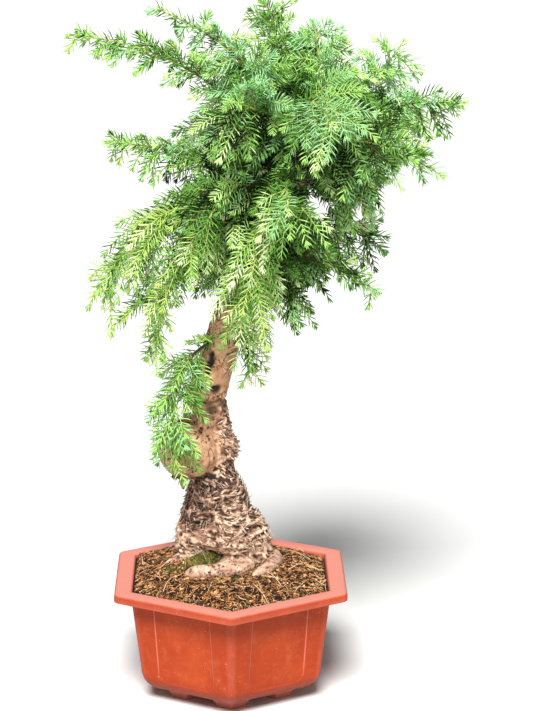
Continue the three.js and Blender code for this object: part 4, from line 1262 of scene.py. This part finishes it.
def soil_height(x, y):
    """Height of the mound: level round the trunk, then down to the pot's wall."""
    inner = np.hypot(x - SOIL.x, y - SOIL.y)
    outer = SOIL_HALF / np.cos(off_side(x, y))
    out = clamp((inner - SOIL.radius) / np.maximum(outer - SOIL.radius, 1))
    bank = BANK.height * np.exp(-(((x - BANK.x) / BANK.long) ** 2) - ((y - BANK.y) / BANK.wide) ** 2)
    return SOIL.edge + (GROUND - SOIL.edge) * np.sin((1 - out) * np.pi / 2) + bank


def soil_mesh():
    sides = SOIL.sides
    angle = round_angles(sides)
    side = off_side(np.cos(angle), np.sin(angle))
    rows = []
    for z in (POT.base_height + POT.wall + SOIL.clear, *SOIL.levels):
        reach = (body_half(z) - POT.wall - SOIL.clear) / np.cos(side)
        rows.append(np.stack([reach * np.cos(angle), reach * np.sin(angle), np.full(sides, z)], 1))
    edge = (SOIL_HALF - SOIL.clear) / np.cos(side)
    for share in np.linspace(1, 0.02, SOIL.rings):
        x, y = edge * share * np.cos(angle), edge * share * np.sin(angle)
        at = np.stack([x, y, np.zeros(sides)], 1)
        lumps = 2.6 * noise(at, 26, 201, 2) + 1.6 * noise(at, 8, 211, 2) + 0.9 * noise(at, 3.2, 221)
        rows.append(np.stack([x, y, soil_height(x, y) + lumps - 1.5], 1))
    return stack(np.concatenate(rows), sides)


def random_soil_place(random):
    while True:
        x, y = random.uniform(-SOIL.reach, SOIL.reach, 2)
        free = math.hypot(x, y) * math.cos(off_side(x, y)) < SOIL_HALF - SOIL.margin
        if free and math.hypot(x - TRUNK[0][0], y - TRUNK[0][1]) > SOIL.foot:
            return np.array([x, y, float(soil_height(x, y))])


def crumbs():
    random = np.random.default_rng(SEED + 11)
    base = np.array([(1, 0, 0), (0, 1, 0), (-1, 0, 0), (0, -1, 0), (0, 0, 1), (0, 0, -1)], float)
    faces = np.array([(0, 1, 4), (1, 2, 4), (2, 3, 4), (3, 0, 4), (1, 0, 5), (2, 1, 5), (3, 2, 5), (0, 3, 5)])
    bags = [Bag(), Bag(), Bag()]
    for _ in range(CRUMBS.count):
        size = random.uniform(*CRUMBS.size) * (1.5 if random.random() < 0.12 else 1)
        lump = base * random.uniform(0.6, 1.3, (6, 1)) * size * random.uniform(0.7, 1.3, 3)
        spin = np.linalg.qr(random.normal(0, 1, (3, 3)))[0]
        spin[:, 0] *= np.sign(np.linalg.det(spin))
        place = random_soil_place(random) + UP * random.uniform(-0.4, 2.2)
        bags[random.choice(3, p=CRUMBS.shares)].add(lump @ spin.T + place, faces)
    return bags


def fibres():
    random = np.random.default_rng(SEED + 13)
    bags = [Bag(), Bag(), Bag()]
    s = np.linspace(-0.5, 0.5, 5)
    for _ in range(FIBRES.count):
        place = random_soil_place(random)[:2]
        way = random_way(random)
        length = random.uniform(*FIBRES.length) * (1.5 if random.random() < 0.08 else 0.8)
        bow = np.array([-way[1], way[0]]) * (length * random.uniform(*FIBRES.bow) * s**2)[:, None]
        flat = keep_inside(place + way * (length * s)[:, None] + bow, 2)
        z = soil_height(*flat.T) + 0.6 + random.uniform(*FIBRES.rise) + random.uniform(*FIBRES.tilt) * s
        radii = random.uniform(*FIBRES.radius) * np.array([0.6, 1, 1, 0.9, 0.4])
        bag = bags[random.choice(3, p=FIBRES.shares)]
        bag.add(*tube(np.column_stack([flat, z]), radii, 3, closed=False))
    return bags


def straws():
    """Long pale stalks that lie on the soil round the foot of the trunk, some with one end up."""
    random = np.random.default_rng(SEED + 19)
    bag = Bag()
    s = np.linspace(0, 1, 8)
    for _ in range(STRAWS.count):
        place = random_soil_place(random)[:2]
        way = random_way(random)
        length, bow = random.uniform(*STRAWS.length), random.uniform(*STRAWS.bow)
        flat = place + length * (way * s[:, None] + bow * np.array([-way[1], way[0]]) * (s * s)[:, None])
        flat = keep_inside(flat, 4)
        rise = 2 + random.uniform(*STRAWS.arch) * np.sin(s * np.pi) + random.uniform(*STRAWS.lift) * s**3
        path = np.column_stack([flat, soil_height(*flat.T) + rise])
        bag.add(*tube(path, random.uniform(*STRAWS.radius) * (1 - 0.6 * s), 4))
    return bag


def moss():
    """Small tufts on the bank behind the front root and here and there round the foot of the trunk."""
    random = np.random.default_rng(SEED + 17)
    rows = []
    for tuft in range(MOSS.tufts):
        middle = TRUNK[0][:2] + random_way(random) * random.uniform(*MOSS.around)
        if tuft < MOSS.on_bank:
            middle = np.array([BANK.x, MOSS.y]) + random.normal(0, 1, 2) * (32, 6)
        count = random.integers(*MOSS.blades)
        at = middle + random.normal(0, MOSS.spread, (count, 2))
        root = np.column_stack([at, soil_height(*at.T) + 0.3])
        way = unit(np.column_stack([random.normal(0, 0.5, (count, 2)), np.ones(count)]))
        side = unit(random.normal(0, 1, (count, 3)))
        rows.append((root, way, side, random.uniform(*MOSS.length, count), np.full(count, MOSS.width)))
    return needle_mesh(*[np.concatenate(column) for column in zip(*rows)])


piece("soil_mound", soil_mesh(), soil_material(), replaced=["soil"])
for crumb_bag, fibre_bag, (kind, dark, pale) in zip(crumbs(), fibres(), EARTH):
    earth = fibre_material(f"earth_{kind}", dark, pale)
    piece(f"soil_crumbs_{kind}", crumb_bag.shape(), earth, smooth=False)
    piece(f"soil_fibres_{kind}", fibre_bag.shape(), earth)
piece("soil_straws", straws().shape(), fibre_material("straw", (206, 172, 126), (248, 226, 186)))
piece("moss", moss(), fibre_material("moss", (50, 52, 16), (150, 146, 62)))

# Floor, light and camera

scene = bpy.context.scene
floor_mesh = bpy.data.meshes.new("floor")
floor_mesh.from_pydata([(-60, -60, 0), (60, -60, 0), (60, 60, 0), (-60, 60, 0)], [], [(0, 1, 2, 3)])
floor_mesh.materials.append(plain("pale_floor", (238, 238, 236), 0.9))
floor = shown("floor", floor_mesh)

scene.world = bpy.data.worlds.new("studio")
scene.world.use_nodes = True
background = scene.world.node_tree.nodes["Background"].inputs
background["Color"].default_value = (1, 1, 1, 1)
background["Strength"].default_value = 0.15


def sun(name, travel, strength, softness):
    """Even light that travels in one direction."""
    data = bpy.data.lights.new(name, "SUN")
    data.energy, data.angle = strength, math.radians(softness)
    made = shown(name, data)
    made.rotation_mode = "QUATERNION"
    made.rotation_quaternion = Vector(travel).to_track_quat("-Z", "Y")


sun("key", (0.1, 0.75, -0.9), 5.4, 22)
sun("fill", (-0.35, 0.9, -0.22), 0.4, 60)

LENS = Sizes(sensor=36, focal_px=2330, height_px=711, yaw=0.0196, pitch=0.248, place=(-0.0107, -3.234, 1.320))
camera_data = bpy.data.cameras.new("camera")
camera_data.sensor_width = LENS.sensor
camera_data.lens = LENS.sensor * LENS.focal_px / LENS.height_px
camera_data.clip_end = 200
camera = shown("camera", camera_data)
camera.location = Vector(MIDDLE + np.array(LENS.place))
camera.rotation_mode = "XYZ"
camera.rotation_euler = (math.pi / 2 - LENS.pitch, 0, -LENS.yaw)
scene.camera = camera
scene.view_settings.view_transform = "Standard"
